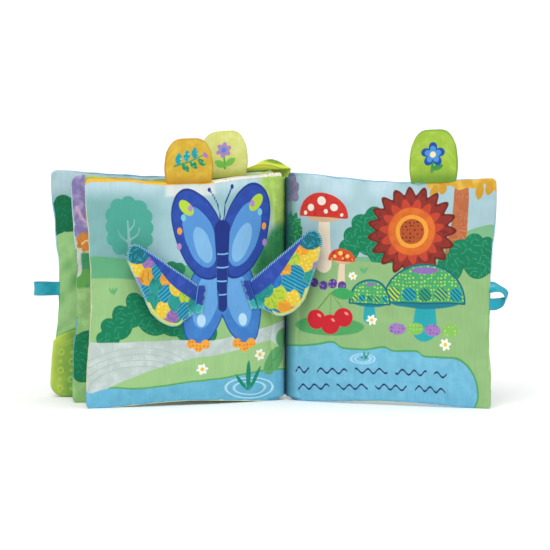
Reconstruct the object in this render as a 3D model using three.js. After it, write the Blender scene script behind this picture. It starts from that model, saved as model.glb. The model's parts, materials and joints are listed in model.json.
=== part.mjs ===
// A padded cloth picture book for a baby, standing open on its lower edges.
// Four padded leaves are joined one to the next at the spine: the front cover, leaf 2, leaf 3 and the
// back cover. The spread between leaf 3 and the back cover faces the reader.
// Lengths are in millimetres and angles in degrees. X runs to the reader's right, Y away from the
// reader and Z up. The origin is on the floor, under the middle of the whole book.
import * as THREE from 'three';

const DEGREE = Math.PI / 180;

// Driving sizes of the leaves
const pageHeight = 205;
const pageWidth = 185;
const coverWidth = 199;
const leafThickness = 11;
const rimThickness = 3.6;
const clothThickness = 0.8;
const filmThickness = 0.4;
const layerGap = 0.3;
const edgeDrawIn = 4;
const coverDrawIn = 6;
const backHeadInset = 3.6;
const backFootInset = 8.2;
const backInsetHeight = 150;
const floorCut = 0.5;
const edgeReach = 50;
const spineReach = 30;
const spineCornerRadius = 8;
const edgeCornerRadius = 5;
const leafBow = 7.6;
const rimPowerShare = 2.2;
const bowPowerShare = 1.5;
const drawInPowerShare = 4;

// How the leaves stand: the angle between each leaf's chord and the X axis
const coverAngle = 1;
const secondAngle = 10.5;
const thirdAngle = 20;
const backAngle = 19.5;

// From a leaf's middle to the axes that it turns on
const stackHingeOffset = 6.3;
const spreadHingeOffset = 8;

// How far a leaf's spine rim stands out past the rim of the leaf in front of it
const secondRootShift = 2.7;
const coverRootShift = 1.3;

// Grid lines across a leaf, measured in from its rims
const seamLine = 3;
const pocketLine = 8;
const shoulderLine = 18;
const crownLine = 36;
const middleCellCount = 3;

// Index tabs
const tabWidth = 42;
const coverTabHeight = 42;
const yellowTabHeight = 39.5;
const orangeTabHeight = 37.5;
const limeTabHeight = 45;
const tabRimThickness = 2;
const tabThickness = 5;
const tabSwell = 1.6;
const tabSeamGap = 0.6;
const tabShoulderShare = 0.36;
const coverTabPlaceShare = 0.12;
const yellowTabPlaceShare = 0.262;
const orangeTabPlaceShare = 0.49;
const limeTabPlaceShare = 0.7;
const coverTabBendAngle = 170;
const coverTabLean = 16;

// Rubber teether at the front cover's lower outer corner
const teetherWidth = 66;
const teetherShoulder = 46.5;
const teetherDome = 11;
const teetherThickness = 6;
const teetherRim = 3.2;
const teetherOverhang = 1.6;
const teetherCornerRadius = 11;
const teetherRound = 1.4;
const flangeReach = 4;
const flangeThickness = 1.4;
const slotThickness = 2;

// Satin ribbon loops on the free edges of the covers
const ribbonThickness = 0.9;
const ribbonHeight = 101;
const leftRibbonWidth = 12;
const leftRibbonReach = 21;
const leftRibbonSwell = 6.4;
const rightRibbonWidth = 10.5;
const rightRibbonGap = 0.8;
const rightRibbonReach = 14.2;
const rightRibbonRise = 7.6;
const rightRibbonTurnAngle = 75;
const rightRibbonSkewShare = 0.6;

// Two cloth wings sewn to leaf 3, each on its hem
const wingRootHeight = 26;
const wingLength = 76;
const wingTipHeight = 45;
const wingDrop = 25;
const wingClothThickness = 0.7;
const wingFilmThickness = 0.3;
const hemWidth = 7;
const hemThickness = 1.6;
const wingFoldGap = 0.5;
const leftWingPlace = 86;
const rightWingPlace = 32;
const leftWingHeight = 94.8;
const rightWingHeight = 97.5;
const leftWingLeanAngle = 8;
const rightWingLeanAngle = 19.5;
const leftWingRaiseAngle = 10;
const rightWingRaiseAngle = 34;

// Cloth webs that join neighbouring leaves at the spine
const webThickness = 0.9;
const webSwell = 3;
const creaseSwell = 1.6;
const webFoot = 8;
const webHead = 5;

const rimHalf = rimThickness / 2;
const crownHalf = leafThickness / 2;
const seamGapHalf = layerGap / 2;
const slotHalf = slotThickness / 2;

const paint = (color, roughness) =>
  new THREE.MeshStandardMaterial({ color, roughness, metalness: 0 });
const printedCloth = paint('#8fc9dc', 0.85);
const meadowCloth = paint('#a9d48a', 0.85);
const coverCloth = paint('#7cc4e4', 0.85);
const whiteWadding = paint('#f4f4f0', 0.95);
const clearFilm = paint('#dfe6ea', 0.3);
const wingCloth = paint('#2b4ba8', 0.85);
const patchCloth = paint('#b7c96a', 0.85);
const orangeCloth = paint('#f2b32f', 0.85);
const yellowCloth = paint('#e0e070', 0.85);
const limeCloth = paint('#a9cf2f', 0.85);
const satin = paint('#4fb6cc', 0.4);
const greenRubber = paint('#a8c62f', 0.45);

const book = new THREE.Group();
const up = new THREE.Vector3(0, 0, 1);

const mix = (from, to, share) => from + (to - from) * share;
const clamp = (x) => Math.min(Math.max(x, 0), 1);
const bump = (x) => Math.sin(Math.PI * clamp(x)) ** 2;
const ease = (x) => (1 - Math.cos(Math.PI * clamp(x))) / 2;

function add(name, geometry, finish) {
  const mesh = new THREE.Mesh(geometry, finish);
  mesh.name = name;
  book.add(mesh);
}

// Makes a geometry from a list of triangles' coordinates, with its faces pointing out
function outward(positions) {
  const [a, b, c] = [new THREE.Vector3(), new THREE.Vector3(), new THREE.Vector3()];
  const triangles = [];
  let volume = 0;
  for (let k = 0; k < positions.length; k += 9) {
    triangles.push(positions.slice(k, k + 9));
    a.fromArray(positions, k);
    b.fromArray(positions, k + 3);
    c.fromArray(positions, k + 6);
    volume += a.dot(b.cross(c));
  }
  const ordered = volume < 0
    ? triangles.map((t) => [...t.slice(0, 3), ...t.slice(6, 9), ...t.slice(3, 6)])
    : triangles;
  const geometry = new THREE.BufferGeometry();
  geometry.setAttribute('position', new THREE.Float32BufferAttribute(ordered.flat(), 3));
  geometry.computeVertexNormals();
  return geometry;
}

// A closed solid between two grids of points. face(i, j) and back(i, j) give the points, and
// keep(i, j) says which cells belong to the solid. Walls close it wherever a kept cell ends.
function gridSolid(columns, rows, face, back, keep = () => true) {
  const positions = [];
  const inside = (i, j) => i >= 0 && j >= 0 && i < columns - 1 && j < rows - 1 && keep(i, j);
  const quad = (a, b, c, d) => {
    for (const p of [a, b, c, a, c, d]) positions.push(p.x, p.y, p.z);
  };
  for (let i = 0; i < columns - 1; i += 1) {
    for (let j = 0; j < rows - 1; j += 1) {
      if (!inside(i, j)) continue;
      const corners = [[i, j], [i + 1, j], [i + 1, j + 1], [i, j + 1]];
      const top = corners.map(([p, q]) => face(p, q));
      const under = corners.map(([p, q]) => back(p, q));
      quad(top[0], top[1], top[2], top[3]);
      quad(under[2], under[1], under[0], under[3]);
      const neighbours = [[i, j - 1], [i + 1, j], [i, j + 1], [i - 1, j]];
      neighbours.forEach(([p, q], k) => {
        const next = (k + 1) % corners.length;
        if (!inside(p, q)) quad(top[next], top[k], under[k], under[next]);
      });
    }
  }
  return outward(positions);
}

// Leaves

// The rim lines of a span, from one rim to the other, with even cells between the crown lines
function lines(start, end, cells) {
  const inset = [0, seamLine, pocketLine, shoulderLine, crownLine];
  const middle = Array.from({ length: cells - 1 }, (_, k) =>
    mix(start + crownLine, end - crownLine, (k + 1) / cells));
  return [...inset.map((x) => start + x), ...middle, ...inset.map((x) => end - x).reverse()];
}

// A leaf runs from its root at the spine along a chord, with its front face towards the reader.
// side is -1 for a leaf on the reader's left and 1 on the right.
function makeLeaf(width, angle, side) {
  const turn = angle * DEGREE;
  return {
    width,
    along: new THREE.Vector3(side * Math.cos(turn), -Math.sin(turn), 0),
    front: new THREE.Vector3(-side * Math.sin(turn), -Math.cos(turn), 0),
    root: new THREE.Vector3(),
    notch: null,
    bottomWidth: width,
    drawIn: edgeDrawIn,
    headInset: 0,
    footInset: 0,
    columns: lines(0, width, middleCellCount),
    rows: lines(0, pageHeight, middleCellCount),
  };
}

const frontCover = makeLeaf(coverWidth, coverAngle, -1);
const leafTwo = makeLeaf(pageWidth, secondAngle, -1);
const leafThree = makeLeaf(pageWidth, thirdAngle, -1);
const backCover = makeLeaf(coverWidth, backAngle, 1);

// The hinge lines follow from one leaf to the next, starting at the crease of the open spread
const creaseHinge = new THREE.Vector3();
const offsetFrom = (hinge, leaf, distance) => hinge.clone().addScaledVector(leaf.front, -distance);
leafThree.root = offsetFrom(creaseHinge, leafThree, spreadHingeOffset);
backCover.root = offsetFrom(creaseHinge, backCover, spreadHingeOffset);
const secondHinge = offsetFrom(leafThree.root, leafThree, stackHingeOffset);
leafTwo.root = offsetFrom(secondHinge, leafTwo, stackHingeOffset)
  .addScaledVector(leafTwo.along, secondRootShift);
const coverHinge = offsetFrom(leafTwo.root, leafTwo, stackHingeOffset);
frontCover.root = offsetFrom(coverHinge, frontCover, stackHingeOffset)
  .addScaledVector(frontCover.along, coverRootShift);

// The covers' free edges: the front one is drawn in more, and the back one also more towards its foot
frontCover.drawIn = coverDrawIn;
backCover.headInset = backHeadInset;
backCover.footInset = backFootInset;

// The front cover leaves its lower outer corner to the teether, under a domed line
const notchStart = coverWidth - teetherWidth;
const domeMiddle = coverWidth - teetherWidth / 2;
frontCover.notch = { start: notchStart, top: teetherShoulder };
frontCover.bottomWidth = notchStart;
frontCover.columns = [
  ...lines(0, notchStart, middleCellCount).slice(0, -2),
  notchStart - seamLine,
  notchStart,
  (notchStart + coverWidth - crownLine) / 2,
  ...[crownLine, shoulderLine, pocketLine, seamLine, 0].map((x) => coverWidth - x),
].filter((x, k, all) => k === 0 || x - all[k - 1] > seamLine / 2);
frontCover.rows = [
  0,
  seamLine,
  pocketLine,
  teetherShoulder / 2,
  ...[pocketLine, seamLine, 0].map((x) => teetherShoulder - x),
  ...lines(teetherShoulder, pageHeight, middleCellCount - 1).slice(1),
];

// How far a corner of this radius lifts a rim, at a distance from the side
function cornerLift(distance, radius) {
  const inset = Math.max(radius - distance, 0);
  return radius - Math.sqrt(Math.max(radius ** 2 - inset ** 2, 0));
}

// The free edge is drawn in between its corners, and less so towards the spine
const drawnIn = (leaf, s, z) => {
  const inset = mix(leaf.footInset, leaf.headInset, ease(z / backInsetHeight));
  const draw = leaf.drawIn * bump(z / pageHeight) + inset;
  return s - draw * (s / leaf.width) ** drawInPowerShare;
};

const domeRise = (s) => teetherDome * (1 - ((s - domeMiddle) / (teetherWidth / 2)) ** 2);

// Where a point of the flat pattern stands: s from the spine and z from the floor. The rims are
// drawn in between rounded corners, and the lower one is cut flat where it meets the floor.
function stand(leaf, s, z) {
  const sag = (width) => edgeDrawIn * bump(s / width);
  const outer = leaf.width - s;
  const low = sag(leaf.bottomWidth) * (s < leaf.bottomWidth ? 1 : 0) - floorCut
    + cornerLift(s, spineCornerRadius) + (leaf.notch ? 0 : cornerLift(outer, edgeCornerRadius));
  const high = pageHeight - sag(leaf.width) - cornerLift(outer, edgeCornerRadius)
    - cornerLift(s, seamLine);
  const reach = drawnIn(leaf, s, z);
  if (leaf.notch && s > leaf.notch.start && z >= leaf.notch.top) {
    const share = (z - leaf.notch.top) / (pageHeight - leaf.notch.top);
    const rim = mix(-floorCut, high, leaf.notch.top / pageHeight) + domeRise(s);
    return [reach, mix(rim, high, share)];
  }
  return [reach, Math.max(mix(low, high, z / pageHeight), 0)];
}

function notchDistance(leaf, s, z) {
  if (!leaf.notch) return Infinity;
  return Math.hypot(Math.max(leaf.notch.start - s, 0), Math.max(z - leaf.notch.top, 0));
}

const rimDistance = (leaf, s, z) =>
  Math.min(s, leaf.width - s, z, pageHeight - z, notchDistance(leaf, s, z));

const rise = (distance, reach) => 1 - (1 - clamp(distance / reach)) ** rimPowerShare;

// Half the leaf's thickness: thin at the sewn rims and full in the middle
function halfThickness(leaf, s, z) {
  const fullness = rise(s, spineReach) * rise(leaf.width - s, edgeReach) * rise(z, edgeReach)
    * rise(pageHeight - z, edgeReach) * rise(notchDistance(leaf, s, z), edgeReach);
  return mix(rimHalf, crownHalf, fullness);
}

// Half the room between the two cloths: closed along the seams, slotted where the teether is sewn in
function halfRoom(leaf, s, z) {
  if (rimDistance(leaf, s, z) < pocketLine) {
    return notchDistance(leaf, s, z) < pocketLine ? slotHalf : seamGapHalf;
  }
  return halfThickness(leaf, s, z) - clothThickness;
}

// A point of the leaf's bowed middle surface, moved out by depth towards the reader. The sewn rim at
// the spine stays square to the chord.
function leafPoint(leaf, s, z, depth) {
  const share = clamp(s / leaf.width);
  const peak = bowPowerShare ** bowPowerShare / (1 + bowPowerShare) ** (1 + bowPowerShare);
  const fall = (1 - share) ** (bowPowerShare - 1);
  const bow = leafBow / peak * share * (1 - share) * fall;
  const slope = leafBow / peak * fall * (1 - share - bowPowerShare * share) / leaf.width
    * clamp(s / shoulderLine);
  const normal = leaf.front.clone().addScaledVector(leaf.along, -slope).normalize();
  return leaf.root.clone()
    .addScaledVector(leaf.along, s)
    .addScaledVector(leaf.front, bow)
    .addScaledVector(normal, depth)
    .addScaledVector(up, z);
}

// A grid point of the leaf, with its depth given by a function of the flat pattern
function nodePoint(leaf, i, j, depth) {
  const [s, z] = [leaf.columns[i], leaf.rows[j]];
  const [across, height] = stand(leaf, s, z);
  return leafPoint(leaf, across, height, depth(leaf, s, z));
}

function bracket(list, x) {
  let k = 0;
  while (k < list.length - 2 && list[k + 1] < x) k += 1;
  return [k, (x - list[k]) / (list[k + 1] - list[k])];
}

// A point anywhere on the leaf's facets, where depth is as in nodePoint
function facetPoint(leaf, s, z, depth) {
  const [i, a] = bracket(leaf.columns, s);
  const [j, b] = bracket(leaf.rows, z);
  const low = nodePoint(leaf, i, j, depth).lerp(nodePoint(leaf, i + 1, j, depth), a);
  const high = nodePoint(leaf, i, j + 1, depth).lerp(nodePoint(leaf, i + 1, j + 1, depth), a);
  return low.lerp(high, b);
}

const middleDepth = () => 0;

// One layer of a leaf between two depths, over the whole pattern or only inside the pocket
function leafLayer(name, leaf, outer, inner, finish, inPocket) {
  const keep = (i, j) => {
    const corners = [[i, j], [i + 1, j], [i, j + 1], [i + 1, j + 1]];
    const [s, z] = [(leaf.columns[i] + leaf.columns[i + 1]) / 2, (leaf.rows[j] + leaf.rows[j + 1]) / 2];
    if (leaf.notch && s > leaf.notch.start && z < leaf.notch.top) return false;
    return !inPocket
      || corners.every(([p, q]) => rimDistance(leaf, leaf.columns[p], leaf.rows[q]) > pocketLine - layerGap);
  };
  const geometry = gridSolid(
    leaf.columns.length,
    leaf.rows.length,
    (i, j) => nodePoint(leaf, i, j, outer),
    (i, j) => nodePoint(leaf, i, j, inner),
    keep,
  );
  add(name, geometry, finish);
}

// A leaf's two cloths, its film and its wadding. sides and finishes give the reader's side first.
function buildLeaf(name, leaf, sides, finishes) {
  const filmTop = (...at) => halfRoom(...at) - layerGap;
  const filmBase = (...at) => filmTop(...at) - filmThickness;
  const waddingTop = (...at) => filmBase(...at) - layerGap;
  const waddingBase = (...at) => layerGap - halfRoom(...at);
  const minus = (depth) => (...at) => -depth(...at);
  leafLayer(`${name}_${sides[0]}_cloth`, leaf, halfThickness, halfRoom, finishes[0], false);
  leafLayer(`${name}_${sides[1]}_cloth`, leaf, minus(halfRoom), minus(halfThickness), finishes[1], false);
  leafLayer(`${name}_crinkle_film`, leaf, filmTop, filmBase, clearFilm, true);
  leafLayer(`${name}_wadding`, leaf, waddingTop, waddingBase, whiteWadding, true);
}

buildLeaf('front_cover', frontCover, ['inside', 'outside'], [meadowCloth, coverCloth]);
buildLeaf('leaf_2', leafTwo, ['front', 'rear'], [meadowCloth, printedCloth]);
buildLeaf('leaf_3', leafThree, ['front', 'rear'], [printedCloth, orangeCloth]);
buildLeaf('back_cover', backCover, ['inside', 'outside'], [printedCloth, coverCloth]);

// Index tabs

// A padded tab of two cloths, seated on a leaf's upper rim. bendAngle curls it away from the reader
// and lean carries its head towards the spine.
function buildTab(name, leaf, placeShare, height, finish, bendAngle = 0, lean = 0) {
  const acrossShares = [-1, -0.78, -0.4, 0, 0.4, 0.78, 1];
  const bentShares = [0, 0.08, 0.17, 0.27, 0.37, 0.47, 0.57, 0.67, 0.77, 0.86, 0.94, 1];
  const upShares = bendAngle ? bentShares : [0, 0.1, 0.5, 0.88, 1];
  const centre = leaf.width * placeShare;
  const bend = bendAngle * DEGREE;
  const halfAt = (u, v) => {
    const edge = (1 - Math.abs(u)) * tabWidth / 2;
    const head = Math.min(v, 1 - v) * height;
    const fullness = rise(Math.min(edge, head), tabWidth / 2);
    return mix(tabRimThickness / 2, tabThickness / 2, fullness);
  };
  const tabPoint = (u, v, depth) => {
    const swollen = tabWidth / 2 + tabSwell * Math.sin(Math.PI * v);
    const s = centre + u * swollen - lean * v;
    const base = facetPoint(leaf, centre + u * tabWidth / 2, pageHeight, middleDepth);
    const from = facetPoint(leaf, s, pageHeight, middleDepth);
    const length = height * (1 - tabShoulderShare * u ** 4) * v;
    const angle = bend * length / height;
    const radius = bend ? height / bend : Infinity;
    const raised = bend ? radius * Math.sin(angle) : length;
    const carried = bend ? radius * (1 - Math.cos(angle)) : 0;
    return new THREE.Vector3(from.x, from.y, base.z + layerGap)
      .addScaledVector(up, raised + depth * Math.sin(angle))
      .addScaledVector(leaf.front, depth * Math.cos(angle) - carried);
  };
  const layer = (suffix, side) => {
    const at = (depthOf) => (i, j) => {
      const [u, v] = [acrossShares[i], upShares[j]];
      return tabPoint(u, v, side * depthOf(u, v));
    };
    const geometry = gridSolid(acrossShares.length, upShares.length, at(halfAt), at(() => tabSeamGap / 2));
    add(`${name}_${suffix}`, geometry, finish);
  };
  layer('front', 1);
  layer('rear', -1);
}

buildTab('cover_tab', frontCover, coverTabPlaceShare, coverTabHeight, limeCloth,
  coverTabBendAngle, coverTabLean);
buildTab('yellow_tab', leafTwo, yellowTabPlaceShare, yellowTabHeight, yellowCloth);
buildTab('orange_tab', leafThree, orangeTabPlaceShare, orangeTabHeight, orangeCloth);
buildTab('lime_tab', backCover, limeTabPlaceShare, limeTabHeight, limeCloth);

// Teether

// A domed rubber pad in the cover's notch, with a thin flange that is sewn between the two cloths
function buildTeether() {
  const end = coverWidth + teetherOverhang;
  const bodyStart = notchStart + layerGap;
  const columns = [
    notchStart - flangeReach,
    bodyStart,
    bodyStart + teetherRound,
    ...frontCover.columns.filter((x) => x > notchStart + teetherRound * 2 && x < end - teetherRound * 2),
    end - teetherRound,
    end,
  ];
  const bodyShares = [0, 0.04, 0.28, 0.62, 0.96, 1];
  const rim = (s) => {
    const inside = Math.min(Math.max(s, notchStart), coverWidth);
    const held = facetPoint(frontCover, inside, teetherShoulder, middleDepth).z;
    return held + (s > coverWidth ? domeRise(s) - domeRise(coverWidth) : 0);
  };
  const flangeRow = bodyShares.length;
  const heightAt = (i, j) => {
    const s = columns[i];
    if (j === flangeRow) return rim(s) + flangeReach;
    const foot = i === 0 ? seamLine : cornerLift(end - s, teetherCornerRadius);
    return mix(foot, rim(s) - layerGap, bodyShares[j]);
  };
  const halfAt = (i, j) => {
    const onRim = i === 1 || i === columns.length - 1 || j === 0 || j === flangeRow - 1;
    if (i === 0 || j === flangeRow) return flangeThickness / 2;
    if (j === flangeRow - 1 || i === 1) return flangeThickness / 2;
    return onRim ? teetherRim / 2 : teetherThickness / 2;
  };
  const point = (i, j, side) => {
    const z = heightAt(i, j);
    return leafPoint(frontCover, drawnIn(frontCover, columns[i], z), z, side * halfAt(i, j));
  };
  const keep = (i, j) => j < flangeRow - 1 || (i > 0 && columns[i + 1] <= coverWidth - pocketLine)
    || (i === 0 && j === flangeRow - 1);
  const geometry = gridSolid(
    columns.length,
    flangeRow + 1,
    (i, j) => point(i, j, 1),
    (i, j) => point(i, j, -1),
    keep,
  );
  add('teether', geometry, greenRubber);
}
buildTeether();

// Ribbon loops

// A flat strip of ribbon along a path. at(k) gives a point, the direction across the ribbon and the
// direction of its thickness.
function buildRibbon(name, steps, width, at) {
  const acrossShares = [-0.5, 0, 0.5];
  const place = (k, j, side) => {
    const { point, across, normal } = at(k / steps);
    return point.clone()
      .addScaledVector(across, acrossShares[j] * width)
      .addScaledVector(normal, side * ribbonThickness / 2);
  };
  const geometry = gridSolid(
    steps + 1,
    acrossShares.length,
    (i, j) => place(i, j, 1),
    (i, j) => place(i, j, -1),
  );
  add(name, geometry, satin);
}

// The left loop lies level, so its ribbon stands upright
function leftLoop(share) {
  const turn = 2 * Math.PI * share;
  const start = facetPoint(frontCover, coverWidth, ribbonHeight, middleDepth);
  const place = (angle) => new THREE.Vector2(
    layerGap + leftRibbonReach * (1 - Math.cos(angle)) / 2,
    (ribbonThickness + layerGap) / 2 * Math.cos(angle / 2)
      + leftRibbonSwell * Math.sin(angle) * (1 - Math.cos(angle)) / 2,
  );
  const here = place(turn);
  const slope = new THREE.Vector2(
    leftRibbonReach * Math.sin(turn) / 2,
    leftRibbonSwell * (Math.cos(turn) - Math.cos(2 * turn)) / 2
      - (ribbonThickness + layerGap) / 4 * Math.sin(turn / 2),
  );
  const ends = share < Number.EPSILON || share > 1 - Number.EPSILON;
  if (ends) slope.set(share < 1 / 2 ? 1 : -1, 0);
  slope.normalize();
  const { along, front } = frontCover;
  return {
    point: start.clone().addScaledVector(along, here.x).addScaledVector(front, here.y),
    across: up,
    normal: along.clone().multiplyScalar(-slope.y).addScaledVector(front, slope.x),
  };
}

// The right loop stands upright and turns over on its way, so both its faces show
function rightLoop(share) {
  const turn = Math.PI * share;
  const start = facetPoint(backCover, coverWidth, ribbonHeight, middleDepth);
  const { along, front } = backCover;
  const point = start.clone()
    .addScaledVector(along, rightRibbonGap + rightRibbonReach * Math.sin(turn))
    .addScaledVector(up, rightRibbonRise * Math.cos(turn));
  const turned = Math.sin(Math.PI * share ** rightRibbonSkewShare);
  const tilt = Math.PI / 2 - rightRibbonTurnAngle * DEGREE * turned;
  const across = front.clone().multiplyScalar(Math.cos(tilt)).addScaledVector(up, -Math.sin(tilt));
  const direction = along.clone().multiplyScalar(rightRibbonReach * Math.cos(turn))
    .addScaledVector(up, -rightRibbonRise * Math.sin(turn));
  return { point, across, normal: new THREE.Vector3().crossVectors(direction, across).normalize() };
}

buildRibbon('left_ribbon_loop', 20, leftRibbonWidth, leftLoop);
buildRibbon('right_ribbon_loop', 18, rightRibbonWidth, rightLoop);

// Wings

// Points of a wing's outline as shares: out from the fold as a share of the length, and along the fold
// as a share of the drop below its middle or of the tip's height above it
const wingUnderShares = {
  near: [0.09, 0.68],
  bend: [0.2, 1.06],
  lowest: [0.32, 1],
  turn: [0.46, 0.96],
  far: [0.58, 0.62],
};
const wingTipShares = { low: [0.86, 0.33], side: [0.98, 0.64], corner: [1.02, 0.98], top: [0.9, 1] };

// The outline of a wing, with its fold on the Y axis
function wingOutline() {
  const root = wingRootHeight / 2;
  const under = ([out, down]) => [wingLength * out, -wingDrop * down];
  const tip = ([out, raised]) => [wingLength * out, wingTipHeight * raised];
  const outline = new THREE.Shape();
  outline.moveTo(0, -root);
  outline.lineTo(...under(wingUnderShares.near));
  outline.quadraticCurveTo(...under(wingUnderShares.bend), ...under(wingUnderShares.lowest));
  outline.quadraticCurveTo(...under(wingUnderShares.turn), ...under(wingUnderShares.far));
  outline.lineTo(...tip(wingTipShares.low));
  outline.lineTo(...tip(wingTipShares.side));
  outline.quadraticCurveTo(...tip(wingTipShares.corner), ...tip(wingTipShares.top));
  outline.lineTo(0, root);
  return outline;
}

// The hinge frame of a wing. outward is 1 where the wing points away from the spine and -1 where it
// points to it. lean tips the fold's upper end back over the hem.
function wingFrame(place, height, outward, leanAngle, raiseAngle) {
  const leaf = leafThree;
  const fold = facetPoint(leaf, place, height, halfThickness);
  const tangent = facetPoint(leaf, place + seamLine, height, halfThickness).sub(fold).normalize();
  const normal = new THREE.Vector3().crossVectors(up, tangent).normalize();
  const lean = leanAngle * DEGREE;
  const raise = raiseAngle * DEGREE;
  const away = tangent.clone().multiplyScalar(outward);
  const axis = up.clone().multiplyScalar(Math.cos(lean)).addScaledVector(away, -Math.sin(lean));
  const out = away.clone().multiplyScalar(Math.cos(lean)).addScaledVector(up, Math.sin(lean));
  const along = out.clone().multiplyScalar(Math.cos(raise)).addScaledVector(normal, Math.sin(raise));
  const face = normal.clone().multiplyScalar(Math.cos(raise)).addScaledVector(out, -Math.sin(raise));
  return { origin: fold.addScaledVector(normal, layerGap), axis, along, face, normal };
}

function wingLayer(name, frame, start, thickness, finish) {
  const flat = new THREE.ExtrudeGeometry(wingOutline(), {
    depth: thickness,
    bevelEnabled: false,
    curveSegments: 4,
  });
  const given = (flat.index ? flat.toNonIndexed() : flat).attributes.position;
  const positions = [];
  for (let k = 0; k < given.count; k += 1) {
    const p = frame.origin.clone()
      .addScaledVector(frame.along, given.getX(k) + wingFoldGap)
      .addScaledVector(frame.axis, given.getY(k))
      .addScaledVector(frame.face, given.getZ(k) + start);
    positions.push(p.x, p.y, p.z);
  }
  add(name, outward(positions), finish);
}

// The hem is a strip on the page beside the fold, on the side away from the wing
function buildHem(name, place, height, outward, leanAngle) {
  const lean = Math.tan(leanAngle * DEGREE);
  const half = wingRootHeight / 2;
  const acrossShares = [0, 0.5, 1];
  const upShares = [-1, 0, 1];
  const at = (extra) => (i, j) => {
    const z = height + upShares[j] * half;
    const s = place - outward * (lean * (z - height) + wingFoldGap + acrossShares[i] * hemWidth);
    const base = facetPoint(leafThree, s, z, halfThickness);
    return base.addScaledVector(leafThree.front, extra);
  };
  const geometry = gridSolid(
    acrossShares.length,
    upShares.length,
    at(layerGap + hemThickness),
    at(layerGap),
  );
  add(name, geometry, wingCloth);
}

function buildWing(name, place, height, outward, leanAngle, raiseAngle) {
  const frame = wingFrame(place, height, outward, leanAngle, raiseAngle);
  const filmStart = wingClothThickness + layerGap;
  const frontStart = filmStart + wingFilmThickness + layerGap;
  wingLayer(`${name}_rear_cloth`, frame, 0, wingClothThickness, wingCloth);
  wingLayer(`${name}_crinkle_film`, frame, filmStart, wingFilmThickness, clearFilm);
  wingLayer(`${name}_front_cloth`, frame, frontStart, wingClothThickness, patchCloth);
  buildHem(`${name}_hem`, place, height, outward, leanAngle);
  return frame;
}

const leftWing = buildWing('left_wing', leftWingPlace, leftWingHeight, 1,
  leftWingLeanAngle, leftWingRaiseAngle);
const rightWing = buildWing('right_wing', rightWingPlace, rightWingHeight, -1,
  rightWingLeanAngle, rightWingRaiseAngle);

// Spine webs

// A strip of cloth from one leaf's spine rim to the next one's, swelling out behind the fold.
// seats are the depths where it meets the two rims.
function buildWeb(name, rearLeaf, nearLeaf, seats, swellDirection, swell) {
  const shares = [0, 0.2, 0.4, 0.6, 0.8, 1];
  const offset = layerGap + webThickness / 2;
  const start = leafPoint(rearLeaf, -offset, 0, seats[0]);
  const end = leafPoint(nearLeaf, -offset, 0, seats[1]);
  const chord = end.clone().sub(start);
  const at = (side) => (i, j) => {
    const share = shares[i];
    const bulge = swell * Math.sin(Math.PI * share);
    const slope = swell * Math.PI * Math.cos(Math.PI * share);
    const normal = swellDirection.clone().multiplyScalar(chord.length())
      .addScaledVector(chord, -slope / chord.length()).normalize();
    return start.clone().lerp(end, share)
      .addScaledVector(swellDirection, bulge)
      .addScaledVector(normal, side * webThickness / 2)
      .addScaledVector(up, j ? pageHeight - webHead : webFoot);
  };
  add(name, gridSolid(shares.length, 2, at(1), at(-1)), coverCloth);
}

const spineSide = new THREE.Vector3(1, 0, 0);
const behind = new THREE.Vector3(0, 1, 0);
const stackSeats = [webThickness / 2, -webThickness / 2];
const creaseSeats = [webThickness, webThickness];
buildWeb('web_cover_to_leaf_2', frontCover, leafTwo, stackSeats, spineSide, webSwell);
buildWeb('web_leaf_2_to_leaf_3', leafTwo, leafThree, stackSeats, spineSide, webSwell);
buildWeb('web_leaf_3_to_back_cover', leafThree, backCover, creaseSeats, behind, creaseSwell);

// The origin goes under the middle of the book, and the hinges are noted from there
const box = new THREE.Box3().setFromObject(book);
const middle = box.getCenter(new THREE.Vector3()).setZ(box.min.z);
for (const mesh of book.children) mesh.position.copy(middle).negate();
const hinge = (point, axis) => ({ point: point.clone().sub(middle).toArray(), axis: axis.toArray() });
book.userData.hinges = {
  leaf_2_turn: hinge(coverHinge, up),
  leaf_3_turn: hinge(secondHinge, up),
  back_cover_turn: hinge(creaseHinge, up),
  left_wing_fold: hinge(leftWing.origin, leftWing.axis),
  right_wing_fold: hinge(rightWing.origin, rightWing.axis.clone().negate()),
};

export default book;
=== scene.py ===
"""A padded cloth picture book for a baby, standing open on its lower edges.

Lengths are in millimetres until they go into a mesh, which is in metres. X runs to the reader's right,
Y away from the reader and Z up, with the origin on the floor under the middle of the book.
"""
import json
import math

import bpy
import numpy as np
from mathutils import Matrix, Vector


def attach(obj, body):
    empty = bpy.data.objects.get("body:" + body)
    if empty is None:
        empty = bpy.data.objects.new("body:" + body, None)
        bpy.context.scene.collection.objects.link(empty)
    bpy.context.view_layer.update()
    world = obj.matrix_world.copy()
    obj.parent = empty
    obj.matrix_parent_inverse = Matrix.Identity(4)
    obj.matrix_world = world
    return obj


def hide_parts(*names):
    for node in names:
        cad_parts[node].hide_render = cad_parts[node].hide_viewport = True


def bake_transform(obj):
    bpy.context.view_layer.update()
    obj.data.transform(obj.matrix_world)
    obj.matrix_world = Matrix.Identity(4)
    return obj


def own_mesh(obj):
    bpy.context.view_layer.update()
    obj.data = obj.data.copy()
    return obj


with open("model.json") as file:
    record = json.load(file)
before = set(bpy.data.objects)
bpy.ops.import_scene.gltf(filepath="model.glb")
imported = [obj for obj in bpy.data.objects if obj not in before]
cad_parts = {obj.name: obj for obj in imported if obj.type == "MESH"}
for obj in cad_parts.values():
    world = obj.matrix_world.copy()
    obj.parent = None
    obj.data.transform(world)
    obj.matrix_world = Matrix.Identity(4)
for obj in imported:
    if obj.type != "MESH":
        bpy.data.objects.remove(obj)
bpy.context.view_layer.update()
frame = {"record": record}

MM = 0.001
UP = np.array([0.0, 0.0, 1.0])

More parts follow.
